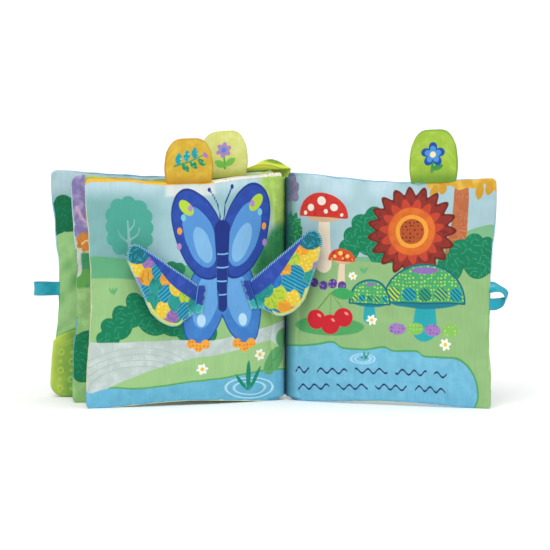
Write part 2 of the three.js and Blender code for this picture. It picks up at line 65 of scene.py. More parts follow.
# Leaves, as in the frame
PAGE_HEIGHT = 205
PAGE_WIDTH = 185
COVER_WIDTH = 199
RIM_HALF = 1.8
CROWN_HALF = 5.5
EDGE_DRAW_IN = 4
COVER_DRAW_IN = 6
BACK_HEAD_INSET = 3.6
BACK_FOOT_INSET = 8.2
BACK_INSET_HEIGHT = 150
DRAW_IN_POWER = 4
FLOOR_CUT = 0.5
EDGE_REACH = 50
SPINE_REACH = 30
SPINE_CORNER = 8
EDGE_CORNER = 5
SEAM_LINE = 3
SHOULDER_LINE = 18
LEAF_BOW = 7.6
RIM_POWER = 2.2
BOW_POWER = 1.5
COVER_ANGLE = 1
SECOND_ANGLE = 10.5
THIRD_ANGLE = 20
BACK_ANGLE = 19.5
STACK_OFFSET = 6.3
SPREAD_OFFSET = 8
SECOND_ROOT_SHIFT = 2.7
COVER_ROOT_SHIFT = 1.3
LAYER_GAP = 0.3
SEAM_ROUND = 2.4

# Tabs. TAB_SWELL is how far a tab's sides stand out above its foot, TAB_SHOULDER how much lower its head
# is at its sides as a share, TAB_TUCK what is sewn in, and the cover tab's crest and spread are shares of
# half the width.
TAB_WIDTH = 42
TAB_RIM = 2
TAB_THICKNESS = 5
TAB_SWELL = 1.6
TAB_SHOULDER = 0.36
TAB_TUCK = 2.2
TAB_RIM_LINES = (0, 0.2, 0.6, 1.2, 2.0, 3.2)
TAB_ARC_SHARE = 0.75
COVER_TAB_BEND = 170
COVER_TAB_RADIUS = 7.2
COVER_TAB_SIDE_RADIUS = 0.5
COVER_TAB_CREST = -0.145
COVER_TAB_SPREAD = 0.855
COVER_TAB_POWER = 0.6
COVER_TAB_LEAN = 18

# Teether
TEETHER_WIDTH = 66
TEETHER_SHOULDER = 52.5
TEETHER_DOME = 11
TEETHER_OVERHANG = 1.6
TEETHER_CORNER = 13
TEETHER_HALF = 3
TEETHER_ROUND = 2.2

# Ribbon loops
RIBBON_HEIGHT = 101
RIBBON_HALF = 0.3
LEFT_RIBBON = {"width": 12, "reach": 21, "swell": 6.4}
RIGHT_RIBBON = {"width": 10.5, "gap": 0.8, "reach": 14.2, "rise": 7.6, "turn": 75, "skew": 0.6}

# Wings. "keep" is the share that a wing keeps when the book is shut, and "gathers" says that it is drawn
# in along its length towards its fold, and not pressed against the page.
WING_ROOT = 26
WING_LENGTH = 76
WING_TIP = 45
WING_DROP = 25
WING_THICKNESS = 2.3
WING_GAP = 0.5
WING_LIFT = 9
HEM_WIDTH = 7
HEM_THICKNESS = 1.6
LEFT_WING = {"place": 86, "height": 94.8, "outward": 1, "lean": 8, "raise": 10, "keep": 0.25,
             "gathers": False}
RIGHT_WING = {"place": 32, "height": 97.5, "outward": -1, "lean": 19.5, "raise": 34, "keep": 0.04,
              "gathers": True}
WING_COLUMNS = 96
WING_ROWS = 84
THREAD_SPACING = 1.9
HEM_STITCHES = 15
HEM_STITCH_REACH = 12.2

# Spine webs
WEB_HALF = 0.45
WEB_TUCK = 3.6
WEB_SWELL = 3
INNER_WEB_SWELL = -0.6
CREASE_ROLL = ((15, 2), (13, 3.3), (11, 4.1), (9, 4.1), (6.5, 3.7), (4, 3.1), (2, 2.45), (0.4, 1.6),
               (-0.9, 0.5), (-1.7, -1), (-2.0, -3))
CREASE_DEPTH = 3.4
CREASE_TAPER = 6
CREASE_FOOT = 1.6
CREASE_DEEP_FOOT = 4
CREASE_HEAD = 1.5
WEB_FOOT = 8
WEB_HEAD = 5

hinges = {joint["name"]: np.array(joint["pos_m"]) / MM for joint in frame["record"]["behaviour"]["joints"]}


def mix(start, end, share):
    """A straight mix from start to end."""
    return start + (end - start) * share


def bump(x):
    """A smooth hump over 0 to 1: the square of half a sine wave."""
    return np.sin(np.pi * np.clip(x, 0, 1)) ** 2


def unit(vector):
    """Vectors along the last axis, each divided by its length."""
    return vector / np.maximum(np.linalg.norm(vector, axis=-1, keepdims=True), 1e-9)


def run_along(points):
    """The length walked along a line of points, at each of them."""
    return np.concatenate([[0], np.cumsum(np.linalg.norm(np.diff(points, axis=0), axis=1))])


# Leaves


class Leaf:
    """A padded leaf: it runs from its root at the spine along a chord, with its front to the reader."""

    def __init__(self, body, width, angle, side, hinge, offset, root_shift=0.0, notched=False):
        turn = math.radians(angle)
        self.body = body
        self.width = width
        self.side = side
        self.along = np.array([side * math.cos(turn), -math.sin(turn), 0.0])
        self.front = np.array([-side * math.sin(turn), -math.cos(turn), 0.0])
        self.root = hinge - offset * self.front + root_shift * self.along
        self.draw_in = EDGE_DRAW_IN
        self.head_inset = 0.0
        self.foot_inset = 0.0
        self.notched = notched
        self.notch_start = COVER_WIDTH - TEETHER_WIDTH
        self.bottom_width = self.notch_start if notched else width


front_cover = Leaf("front_cover", COVER_WIDTH, COVER_ANGLE, -1, hinges["leaf_2_turn"], STACK_OFFSET,
                   COVER_ROOT_SHIFT, True)
leaf_two = Leaf("leaf_2", PAGE_WIDTH, SECOND_ANGLE, -1, hinges["leaf_3_turn"], STACK_OFFSET,
                SECOND_ROOT_SHIFT)
leaf_three = Leaf("leaf_3", PAGE_WIDTH, THIRD_ANGLE, -1, hinges["back_cover_turn"], SPREAD_OFFSET)
back_cover = Leaf("back_cover", COVER_WIDTH, BACK_ANGLE, 1, hinges["back_cover_turn"], SPREAD_OFFSET)
front_cover.draw_in = COVER_DRAW_IN
back_cover.head_inset = BACK_HEAD_INSET
back_cover.foot_inset = BACK_FOOT_INSET


def drawn_in(leaf, s, z):
    """How far along its chord a point of the flat pattern comes.

    The free edge is drawn in by a smooth hump along z, and by an inset that goes from the foot's to the
    head's in a half cosine, both times the fourth power of s over the width.
    """
    ramp = (1 - np.cos(np.pi * np.clip(z / BACK_INSET_HEIGHT, 0, 1))) / 2
    draw = leaf.draw_in * bump(z / PAGE_HEIGHT) + mix(leaf.foot_inset, leaf.head_inset, ramp)
    return s - draw * (np.maximum(s, 0) / leaf.width) ** DRAW_IN_POWER


def corner_lift(distance, radius):
    """How far a round corner lifts a rim: the radius less the circle's height at that distance."""
    inset = np.maximum(radius - distance, 0)
    return radius - np.sqrt(np.maximum(radius ** 2 - inset ** 2, 0))


def dome_rise(s):
    """A parabola over the teether's width, highest in its middle."""
    return TEETHER_DOME * (1 - ((s - COVER_WIDTH + TEETHER_WIDTH / 2) / (TEETHER_WIDTH / 2)) ** 2)


def stand(leaf, s, z):
    """Where a point of the flat pattern stands.

    The lower and upper rims are drawn in by a smooth hump along s, lifted at round corners and cut flat
    at the floor, and z is mixed between them. Over the teether the lower rim is the dome.
    """
    outer = leaf.width - s
    sag = EDGE_DRAW_IN * bump(s / leaf.bottom_width) * (s < leaf.bottom_width)
    low = sag - FLOOR_CUT + corner_lift(s, SPINE_CORNER)
    if not leaf.notched:
        low = low + corner_lift(outer, EDGE_CORNER)
    high = PAGE_HEIGHT - EDGE_DRAW_IN * bump(s / leaf.width) - corner_lift(outer, EDGE_CORNER)
    high = high - corner_lift(s, SEAM_LINE)
    reach = drawn_in(leaf, s, z)
    height = np.maximum(mix(low, high, z / PAGE_HEIGHT), 0)
    if leaf.notched:
        rim = mix(-FLOOR_CUT, high, TEETHER_SHOULDER / PAGE_HEIGHT) + dome_rise(s)
        share = (z - TEETHER_SHOULDER) / (PAGE_HEIGHT - TEETHER_SHOULDER)
        over = (s > leaf.notch_start) & (z >= TEETHER_SHOULDER)
        height = np.where(over, mix(rim, high, share), height)
    return reach, height


def notch_distance(leaf, s, z):
    """The distance to the teether's notch, or a very large one where the leaf has none."""
    if not leaf.notched:
        return np.full(np.broadcast(s, z).shape, 1e6)
    return np.hypot(np.maximum(leaf.notch_start - s, 0), np.maximum(z - TEETHER_SHOULDER, 0))


def rise(distance, reach):
    """A fast rise from a rim: one less a power of the share that is still to go."""
    return 1 - (1 - np.clip(distance / reach, 0, 1)) ** RIM_POWER


def half_thickness(leaf, s, z):
    """Half the leaf's thickness: a product of the rises from all its rims, from the rim's to the crown's."""
    fullness = rise(s, SPINE_REACH) * rise(leaf.width - s, EDGE_REACH) * rise(z, EDGE_REACH)
    fullness = fullness * rise(PAGE_HEIGHT - z, EDGE_REACH) * rise(notch_distance(leaf, s, z), EDGE_REACH)
    return mix(RIM_HALF, CROWN_HALF, fullness)


def leaf_point(leaf, s, z, depth):
    """Points on a leaf: along its chord, up, and out along the normal of its bow.

    The bow is the share times one less the share to the power of BOW_POWER, scaled to LEAF_BOW at its
    peak, so it is steeper near the spine.
    """
    share = np.clip(s / leaf.width, 0, 1)
    peak = BOW_POWER ** BOW_POWER / (1 + BOW_POWER) ** (1 + BOW_POWER)
    fall = (1 - share) ** (BOW_POWER - 1)
    bow = LEAF_BOW / peak * share * (1 - share) * fall
    slope = LEAF_BOW / peak * fall * (1 - share - BOW_POWER * share) / leaf.width
    slope = slope * np.clip(s / SHOULDER_LINE, 0, 1)
    normal = unit(leaf.front - leaf.along * slope[..., None])
    point = leaf.root + leaf.along * s[..., None] + leaf.front * bow[..., None]
    return point + normal * depth[..., None] + UP * z[..., None]


# Meshes


def add_object(name, data):
    """A new object in the scene."""
    made = bpy.data.objects.new(name, data)
    bpy.context.scene.collection.objects.link(made)
    return made


def mesh_piece(name, points, faces, materials, uv=None, fields=None, face_slots=None):
    """A smooth mesh object from an array of points in millimetres and a list of faces.

    uv gives each vertex its place on the flat cloth in millimetres, and fields are named numbers on the
    vertices. face_slots picks each face's material.
    """
    mesh = bpy.data.meshes.new(name)
    mesh.from_pydata((points * MM).tolist(), [], faces)
    for material in materials:
        mesh.materials.append(material)
    if uv is not None:
        loops = np.empty(len(mesh.loops), dtype=np.int64)
        mesh.loops.foreach_get("vertex_index", loops)
        layer = mesh.uv_layers.new(name="cloth")
        layer.data.foreach_set("uv", (uv * MM)[loops].astype(np.float32).ravel())
    for key, values in (fields or {}).items():
        attribute = mesh.attributes.new(key, "FLOAT", "POINT")
        attribute.data.foreach_set("value", values.astype(np.float32))
    if face_slots is not None:
        mesh.polygons.foreach_set("material_index", face_slots.astype(np.int32))
    mesh.shade_smooth()
    mesh.update()
    return add_object(name, mesh)


class PouchGrid:
    """Two sheets of grid cells that share their rim, as two cloths share a seam.

    keep is a mask of cells. Nodes on the rim of the kept cells belong to both sheets.
    """

    def __init__(self, columns, rows, keep=None):
        self.shape = (len(columns), len(rows))
        self.a, self.b = np.meshgrid(columns, rows, indexing="ij")
        cells = np.ones((self.shape[0] - 1, self.shape[1] - 1), bool) if keep is None else keep
        around = np.zeros(self.shape, int)
        for i in (0, 1):
            for j in (0, 1):
                around[i:i + cells.shape[0], j:j + cells.shape[1]] += cells
        self.used = around > 0
        self.inner = around == 4
        front = np.full(self.shape, -1)
        front[self.used] = np.arange(self.used.sum())
        rear = front.copy()
        rear[self.inner] = self.used.sum() + np.arange(self.inner.sum())
        i, j = np.nonzero(cells)
        corners = [(i, j), (i + 1, j), (i + 1, j + 1), (i, j + 1)]
        self.front_faces = np.stack([front[c] for c in corners], axis=1)
        self.rear_faces = np.stack([rear[c] for c in reversed(corners)], axis=1)

    def gather(self, front, rear):
        """Values on both sheets' nodes as one list of vertices, the front sheet's first."""
        return np.concatenate([front[self.used], rear[self.inner]])

    def both(self, values):
        """The same values on both sheets, as one list of vertices."""
        return self.gather(values, values)

    def build(self, name, front, rear, materials, fields=None, flat=None):
        """The closed piece. front and rear hold points for each node, and the rim takes the front's."""
        rear = np.where(self.inner[..., None], rear, front)
        points = self.gather(front, rear)
        faces = np.concatenate([self.front_faces, self.rear_faces])
        first = points[faces[: len(self.front_faces)]]
        across = np.cross(first[:, 2] - first[:, 0], first[:, 3] - first[:, 1])
        if np.sum(across * (front - rear)[self.used][self.front_faces[:, 0]]) < 0:
            faces = faces[:, ::-1]
        slots = np.repeat([0, len(materials) - 1], [len(self.front_faces), len(self.rear_faces)])
        flat = (self.a, self.b) if flat is None else flat
        return mesh_piece(name, points, faces.tolist(), materials, self.both(np.stack(flat, axis=-1)), fields,
                          slots)


def rim_lines(start, end, step, fine=(0, 0.25, 0.8, 1.6, 2.6, 4.2, 6.4)):
    """Grid lines that crowd at both rims and run evenly between them."""
    inset = np.array([x for x in fine if x < (end - start) / 2 - step])
    count = max(round((end - start - 2 * inset[-1]) / step), 2)
    middle = np.linspace(start + inset[-1], end - inset[-1], count + 1)[1:-1]
    return np.concatenate([start + inset, middle, (end - inset)[::-1]])


def rounded(distance, radius):
    """A round rim: nought on the rim and one at the radius, along a quarter circle."""
    return np.sqrt(1 - (1 - np.clip(distance / radius, 0, 1)) ** 2)


def arc_points(points, count):
    """Points at even steps along a smooth curve through the given ones (centripetal Catmull-Rom)."""
    given = np.array(points, float)
    ends = np.concatenate([[2 * given[0] - given[1]], given, [2 * given[-1] - given[-2]]])
    dense = []
    for k in range(len(given) - 1):
        p0, p1, p2, p3 = ends[k:k + 4]
        t = np.linspace(0, 1, 24, endpoint=False)[:, None]
        dense.append(0.5 * (2 * p1 + (p2 - p0) * t + (2 * p0 - 5 * p1 + 4 * p2 - p3) * t ** 2
                            + (3 * p1 - p0 - 3 * p2 + p3) * t ** 3))
    line = np.concatenate(dense + [given[-1:]])
    run = run_along(line)
    even = np.linspace(0, run[-1], count)
    return np.stack([np.interp(even, run, line[:, k]) for k in (0, 1)], axis=-1)


# Swelling of the pouches

POUCH_CELL = 4.6
POUCH_FRAMES = 20
POUCH_CLOTH = {"quality": 6, "mass": 0.15, "tension_stiffness": 30, "compression_stiffness": 30,
               "shear_stiffness": 8, "bending_stiffness": 0.02, "shrink_min": -0.025, "use_pressure": True,
               "uniform_pressure_force": 6}
PUCKER_SPREAD = 4
PUCKER_GRAIN = 0.7
PUCKER_LIMIT = 1.5
PUCKER_OUT = 0.3
PUCKER_SHARE = 0.45
IN_PLANE_SHARE = 0.35

# Spacing and depth of the small folds at a leaf's seams: at its root, free edge, foot and head
SEAM_FOLDS = ((13, 1.1), (19, 1.2), (17, 1.2), (17, 1.3))


def soften(field, spread):
    """A blur along both axes by a bell-shaped weight, with the ends repeated."""
    reach = int(3 * spread)
    weights = np.exp(-0.5 * (np.arange(-reach, reach + 1) / spread) ** 2)
    weights = weights / weights.sum()
    for axis in (0, 1):
        padding = [(reach, reach) if k == axis else (0, 0) for k in (0, 1)]
        padded = np.pad(field, padding, mode="edge")
        field = np.apply_along_axis(lambda line: np.convolve(line, weights, mode="valid"), axis, padded)
    return field


def swollen_pouch(name, width, height, seed):
    """Puckers of a flat sewn pouch that is swollen with air by a cloth simulation.

    Gives four fields on an even grid, in millimetres: the moves across and up, and the moves out of the
    front and of the rear sheet. What is smooth is taken off each, so only the puckers are left.
    """
    columns = np.linspace(0, width, round(width / POUCH_CELL) + 1)
    rows = np.linspace(0, height, round(height / POUCH_CELL) + 1)
    grid = PouchGrid(columns, rows)
    rng = np.random.default_rng(seed)
    room = np.where(grid.inner, 1.2, 0.0) + rng.uniform(-0.35, 0.35, grid.shape)
    place = [np.stack([grid.a, side * room, grid.b], axis=-1) for side in (-1, 1)]
    pouch = grid.build(name, place[0], place[1], [])
    before = grid.gather(place[0], place[1])
    cloth = pouch.modifiers.new("swell", "CLOTH")
    for key, value in POUCH_CLOTH.items():
        setattr(cloth.settings, key, value)
    cloth.settings.effector_weights.gravity = 0
    cloth.collision_settings.use_collision = False
    cloth.point_cache.frame_start = 1
    cloth.point_cache.frame_end = POUCH_FRAMES
    scene = bpy.context.scene
    for number in range(1, POUCH_FRAMES + 1):
        scene.frame_set(number)
    result = pouch.evaluated_get(bpy.context.evaluated_depsgraph_get())
    after = np.empty(len(result.data.vertices) * 3)
    result.data.vertices.foreach_get("co", after)
    moved = after.reshape(-1, 3) / MM - before
    bpy.data.objects.remove(pouch)
    scene.frame_set(1)
    fields = []
    count = grid.used.sum()
    for axis, sheet in ((0, 0), (2, 0), (1, 0), (1, 1)):
        values = np.zeros(grid.shape)
        values[grid.used] = moved[:count, axis]
        if sheet:
            values[grid.inner] = moved[count:, axis]
        if axis == 1:
            values = -values
        detail = soften(values, PUCKER_GRAIN) - soften(values, PUCKER_SPREAD)
        share = PUCKER_SHARE if axis == 1 else PUCKER_SHARE * IN_PLANE_SHARE
        fields.append(np.clip(detail * share, -PUCKER_LIMIT, PUCKER_LIMIT))
    return fields


def resample(field, s, z, width, height):
    """The field at other places, by Catmull-Rom weights along each axis in turn."""
    def weights(places, length, count):
        place = np.clip(places / length, 0, 1) * (count - 1)
        base = np.minimum(place.astype(int), count - 2)
        f = place - base
        terms = [-0.5 * f ** 3 + f ** 2 - 0.5 * f, 1.5 * f ** 3 - 2.5 * f ** 2 + 1,
                 -1.5 * f ** 3 + 2 * f ** 2 + 0.5 * f, 0.5 * f ** 3 - 0.5 * f ** 2]
        table = np.zeros((len(places), count))
        for k, term in enumerate(terms):
            np.add.at(table, (np.arange(len(places)), np.clip(base + k - 1, 0, count - 1)), term)
        return table
    return weights(s, width, field.shape[0]) @ field @ weights(z, height, field.shape[1]).T


def pinches(along, distance, length, seed, spacing, depth):
    """Small folds that run in from a sewn rim.

    Each is a narrow bell along the rim, skewed a little, that starts at the seam and fades inwards.
    """
    rng = np.random.default_rng(seed)
    total = np.zeros(np.broadcast(along, distance).shape)
    for place in np.arange(spacing / 2, length, spacing):
        centre = place + rng.uniform(-0.35, 0.35) * spacing
        breadth = rng.uniform(1.6, 3.6)
        reach = rng.uniform(5, 20)
        lean = rng.uniform(-0.5, 0.5)
        deep = depth * rng.uniform(0.35, 1)
        across = np.exp(-((along - centre - lean * distance) / (breadth + 0.12 * distance)) ** 2)
        total += deep * across * np.exp(-distance / reach) * (1 - np.exp(-distance / 1.2))
    return total


# Artwork
# Each motif is an array of distances in millimetres, positive inside the shape

FAR = 40


def disc(x, y, cx, cy, radius):
    """Inside a circle."""
    return radius - np.hypot(x - cx, y - cy)


def oval(x, y, cx, cy, a, b, turn=0.0):
    """Inside an ellipse, turned by degrees: one less the scaled radius, times the smaller half axis."""
    t = math.radians(turn)
    u = (x - cx) * math.cos(t) + (y - cy) * math.sin(t)
    v = (y - cy) * math.cos(t) - (x - cx) * math.sin(t)
    return (1 - np.hypot(u / a, v / b)) * min(a, b)


def join(*fields):
    """Inside any of the shapes."""
    return np.maximum.reduce(fields)


def stem(x, y, points, start, end):
    """Inside a line of straight runs whose half width goes from start to end."""
    best = np.full(x.shape, -1e3)
    count = len(points) - 1
    for k in range(count):
        p, q = np.array(points[k], float), np.array(points[k + 1], float)
        d = q - p
        t = np.clip(((x - p[0]) * d[0] + (y - p[1]) * d[1]) / (d @ d), 0, 1)
        radius = mix(start, end, (k + t) / count)
        best = np.maximum(best, radius - np.hypot(x - p[0] - t * d[0], y - p[1] - t * d[1]))
    return best


def blade(x, y, root, tip, half):
    """A pointed leaf from root to tip: half the width times a half sine along it, less the distance."""
    p, q = np.array(root, float), np.array(tip, float)
    d = q - p
    length = np.hypot(*d)
    t = ((x - p[0]) * d[0] + (y - p[1]) * d[1]) / length ** 2
    off = np.abs((x - p[0]) * d[1] - (y - p[1]) * d[0]) / length
    width = half * np.sin(np.pi * np.clip(t, 0, 1)) ** 0.8
    beyond = np.maximum(np.maximum(-t, t - 1), 0) * length
    return width - off - 2 * beyond


def petals(x, y, cx, cy, inner, outer, count, turn=0.0, sharp=1.0):
    """A flower: the radius swings between inner and outer, count times round."""
    angle = np.arctan2(y - cy, x - cx) - math.radians(turn)
    swing = np.abs(np.cos(angle * count / 2)) ** sharp
    return (mix(inner, outer, swing) - np.hypot(x - cx, y - cy)) * 0.75


def puffs(x, y, circles):
    """A rounded mass, such as a cloud or a bush: circles given as (x, y, radius)."""
    return join(*[disc(x, y, *circle) for circle in circles])


def shore(x, points):
    """The height of a smooth line through given points, at each x."""
    line = arc_points(points, 200)
    return np.interp(x, line[:, 0], line[:, 1])


class Print:
    """The printed design of one face of cloth.

    x and y are in millimetres from the face's lower left corner as its viewer sees it. Layers are laid
    over the ground colour in turn.
    """

    def __init__(self, x, y, ground):
        self.x = x
        self.y = y
        self.ground = ground
        self.layers = []

    def fill(self, colour, inside, soft=0.35, **grain):
        """Colours the inside of a shape, with a soft edge. grain is one texture's name and colour."""
        self.layers.append({"colour": colour, "field": np.clip(inside, -FAR, FAR), "soft": soft,
                            "line": None, "grain": next(iter(grain.items()), None)})

    def line(self, colour, field, width, within=None):
        """Draws a line of this width where the field is nought, within another shape."""
        field = np.clip(field, -FAR, FAR)
        if within is not None:
            field = np.where(within > 0, field, FAR)
        self.layers.append({"colour": colour, "field": field, "soft": 0.3, "line": width / 2, "grain": None})


def daisy(art, cx, cy, radius, petal="#F7F6EE"):
    """A small open flower with a round heart."""
    art.fill(petal, petals(art.x, art.y, cx, cy, radius * 0.35, radius, 6, turn=12, sharp=0.8))
    art.fill("#F0C22E", disc(art.x, art.y, cx, cy, radius * 0.34))


def grass(art, cx, cy, size, colour):
    """A tuft of three short blades."""
    for lean in (-0.5, 0, 0.5):
        art.fill(colour, blade(art.x, art.y, (cx, cy), (cx + lean * size, cy + size), size * 0.13))


def reed(art, cx, cy, size, colour):
    """A water plant of three long blades."""
    shape = join(*[blade(art.x, art.y, (cx + foot, cy), (cx + lean * size, cy + up * size), size * wide)
                   for foot, lean, up, wide in ((-0.6, -0.44, 0.58, 0.055), (0, -0.03, 1, 0.075),
                                                (0.8, 0.38, 0.82, 0.06))])
    art.fill(colour, shape)


def ripples(art, cx, cy, size, colour, within=None):
    """Two rings on the water."""
    for share in (0.66, 1):
        ring = oval(art.x, art.y, cx, cy, size * share, size * share * 0.42)
        art.line(colour, ring, 1.0, within)


def pond(art, line):
    """Water below a shore line, with a darker grass edge."""
    art.fill("#4FB070", line + 1.6 - art.y)
    art.fill("#68B4D3", line - art.y, cloudy="#72BBD8")


def toadstool(art, cx, cy, radius, cap, spots, stalk="#F3E3C8"):
    """A toadstool on a stalk, with round spots on its cap."""
    x, y = art.x, art.y
    line = [(cx, cy - radius * 1.9), (cx + radius * 0.05, cy)]
    art.fill(stalk, stem(x, y, line, radius * 0.3, radius * 0.2))
    art.fill("#D9B48E", oval(x, y, cx, cy - radius * 0.08, radius * 0.7, radius * 0.2))
    dome = np.minimum(oval(x, y, cx, cy - radius * 0.1, radius, radius * 0.92), y - cy + radius * 0.1)
    art.fill(cap, dome, strokes="#C22C2A")
    for dx, dy, share in ((-0.5, 0.22, 0.13), (-0.08, 0.5, 0.17), (0.42, 0.3, 0.15), (0.1, 0.12, 0.09),
                          (-0.72, 0.02, 0.08), (0.74, 0.04, 0.07)):
        art.fill(spots, np.minimum(disc(x, y, cx + dx * radius, cy + dy * radius, share * radius), dome))


def cherries(art, cx, cy, size):
    """Three round fruits on their stalks, with a leaf."""
    x, y = art.x, art.y
    top = (cx + size * 0.2, cy + size * 2.3)
    places = ((-1.15, -0.1), (0.15, -0.5), (1.35, 0.15))
    for dx, dy in places:
        art.fill("#6E8F2E", stem(x, y, [(cx + dx * size, cy + (dy + 0.7) * size), top], 0.7, 0.6))
    art.fill("#3FA860", blade(x, y, top, (top[0] + size * 2.2, top[1] - size * 0.2), size * 0.5))
    for dx, dy in places:
        art.fill("#CE2230", disc(x, y, cx + dx * size, cy + dy * size, size * 0.86))
        art.fill("#F0A090", oval(x, y, cx + (dx + 0.28) * size, cy + (dy + 0.36) * size,
                                 size * 0.24, size * 0.12, -35))


def wave_rows(art, left, right, rows):
    """Rows of small waves with gaps, as a decoration."""
    for k, height in enumerate(rows):
        field = art.y - height - 2.3 * np.sin((art.x + k * 7) * 2 * np.pi / 11)
        gap = np.sin((art.x + 19 * k) * 2 * np.pi / 37) + 0.86
        art.line("#22305F", field, 1.9, np.minimum(np.minimum(art.x - left, right - art.x), gap))


def butterfly(art, cx, cy, size, slim):
    """A butterfly with a slim body, two feelers and four round-edged wings.

    size is its half height, and slim draws it in towards its body.
    """
    x, y = art.x, art.y
    mirrored = cx + np.abs(x - cx) / slim
    lower = join(oval(mirrored, y, cx + size * 0.33, cy - size * 0.42, size * 0.36, size * 0.56, 24),
                 disc(mirrored, y, cx + size * 0.5, cy - size * 0.75, size * 0.2))
    upper = join(oval(mirrored, y, cx + size * 0.44, cy + size * 0.44, size * 0.4, size * 0.62, -34),
                 disc(mirrored, y, cx + size * 0.66, cy + size * 0.72, size * 0.25))
    art.fill("#2450A2", lower + 1.4)
    art.fill("#3E7CC6", lower, cloudy="#4684CC")
    art.fill("#66A4DE", oval(mirrored, y, cx + size * 0.31, cy - size * 0.4, size * 0.22, size * 0.38, 24))
    art.fill("#B9DDF5", disc(mirrored, y, cx + size * 0.4, cy - size * 0.66, size * 0.08))
    art.fill("#1E3787", upper + 1.4)
    art.fill("#2A4AA4", upper, cloudy="#3052AE")
    art.fill("#5795D6", oval(mirrored, y, cx + size * 0.42, cy + size * 0.4, size * 0.26, size * 0.44, -34))
    art.fill("#82BAE6", oval(mirrored, y, cx + size * 0.37, cy + size * 0.3, size * 0.14, size * 0.27, -34))
    art.fill("#B5D63A", oval(mirrored, y, cx + size * 0.66, cy + size * 0.78, size * 0.15, size * 0.08, 30))
    for k, colour in enumerate(("#B48CC8", "#F2A33A", "#7CC6D8", "#B48CC8")):
        turn = math.radians(-8 + 25 * k)
        art.fill(colour, disc(mirrored, y, cx + size * (0.44 + 0.38 * math.cos(turn)),
                              cy + size * (0.4 + 0.46 * math.sin(turn)) - size * 0.05, size * 0.045))
    feeler = stem(mirrored, y, [(cx + 1, cy + size * 0.5), (cx + size * 0.07, cy + size * 0.8),
                                (cx + size * 0.2, cy + size * 0.98)], 1.1, 0.9)
    art.fill("#1F3A8C", join(feeler, disc(mirrored, y, cx + size * 0.22, cy + size, 2.3)))
    body = stem(x, y, [(cx, cy - size * 0.5), (cx, cy + size * 0.1), (cx, cy + size * 0.5)],
                size * 0.06, size * 0.1)
    art.fill("#1C3382", body)
    for k in range(4):
        art.line("#7DBBEC", y - cy + size * (0.34 - 0.17 * k) - 0.02 * (x - cx) ** 2, 1.3, body)


def sunflower(art, cx, cy, radius):
    """A large flower with two rings of pointed petals round a seeded heart."""
    x, y = art.x, art.y
    art.fill("#6F241C", petals(x, y, cx, cy, radius * 0.8, radius, 19, sharp=1.4))
    art.fill("#93322A", petals(x, y, cx, cy, radius * 0.72, radius * 0.93, 19, sharp=1.4), strokes="#7A2A22")
    art.fill("#C2442F", petals(x, y, cx, cy, radius * 0.52, radius * 0.72, 15, turn=9, sharp=1.2))
    art.fill("#E0722E", disc(x, y, cx, cy, radius * 0.52), cloudy="#D4652A")
    art.fill("#F0A33C", disc(x, y, cx, cy, radius * 0.36))
    art.fill("#B5542A", disc(x, y, cx, cy, radius * 0.27), dots="#6F2E1C")


def patterned_mushroom(art, cx, cy, half, height):
    """A broad low mushroom whose cap is a patchwork of greens and blues on a teal stalk."""
    x, y = art.x, art.y
    art.fill("#2AA7B0", stem(x, y, [(cx, cy - height * 0.72), (cx, cy)], half * 0.32, half * 0.24))
    art.fill("#1C7F92", oval(x, y, cx, cy - height * 0.02, half * 0.86, height * 0.16))
    dome = np.minimum(oval(x, y, cx, cy, half, height), y - cy)
    art.fill("#16697C", dome + 1.6)
    art.fill("#46A86A", dome, dots="#B5D65A")
    for k, colour in enumerate(("#B5D63A", "#2AA7B0", "#3F9F5A", "#7FC25A", "#2AA7B0")):
        centre = cx + (k - 2) * half * 0.4
        patch = np.minimum(disc(x, y, centre, cy + height * 0.2, half * 0.17), dome - 1.2)
        art.fill(colour, patch, stripes="#16697C")
    crest = oval(x, y, cx, cy + height * 0.98, half * 0.42, height * 0.22)
    art.fill("#8F6FB4", np.minimum(crest, dome - 1.5))


def tree(art, cx, cy, size, leaves, trunk):
    """A round tree with a lobed rim and a forked trunk."""
    x, y = art.x, art.y
    lobes = [(cx + size * (0.72 + 0.1 * math.cos(2 * t)) * math.sin(t),
              cy + size * (0.12 + 0.84 * math.cos(t)), size * 0.27)
             for t in np.radians(np.arange(0, 360, 30))]
    art.fill(leaves, join(oval(x, y, cx, cy + size * 0.1, size * 0.78, size * 0.86), puffs(x, y, lobes)))
    limbs = ((((0, -1.15), (-0.06, 0.35)), 0.075, 0.03),
             (((-0.02, -0.35), (0.3, -0.12), (0.38, 0.14)), 0.035, 0.02),
             (((-0.02, -0.48), (-0.34, -0.2), (-0.46, 0.06)), 0.035, 0.02),
             (((-0.03, -0.02), (0.16, 0.2), (0.18, 0.4)), 0.03, 0.02))
    forks = [([(cx + size * u, cy + size * v) for u, v in line], size * start, size * end)
             for line, start, end in limbs]
    art.fill(trunk, join(*[stem(x, y, *fork) for fork in forks]))


def bush(art, circles, floor, colour="#0A7D55", strokes="#2A9169"):
    """A leafy mass that stands on a level line."""
    mass = np.minimum(puffs(art.x, art.y, circles), art.y - floor)
    art.fill("#0E744D", mass + 0.8)
    art.fill(colour, mass, leaves=strokes)


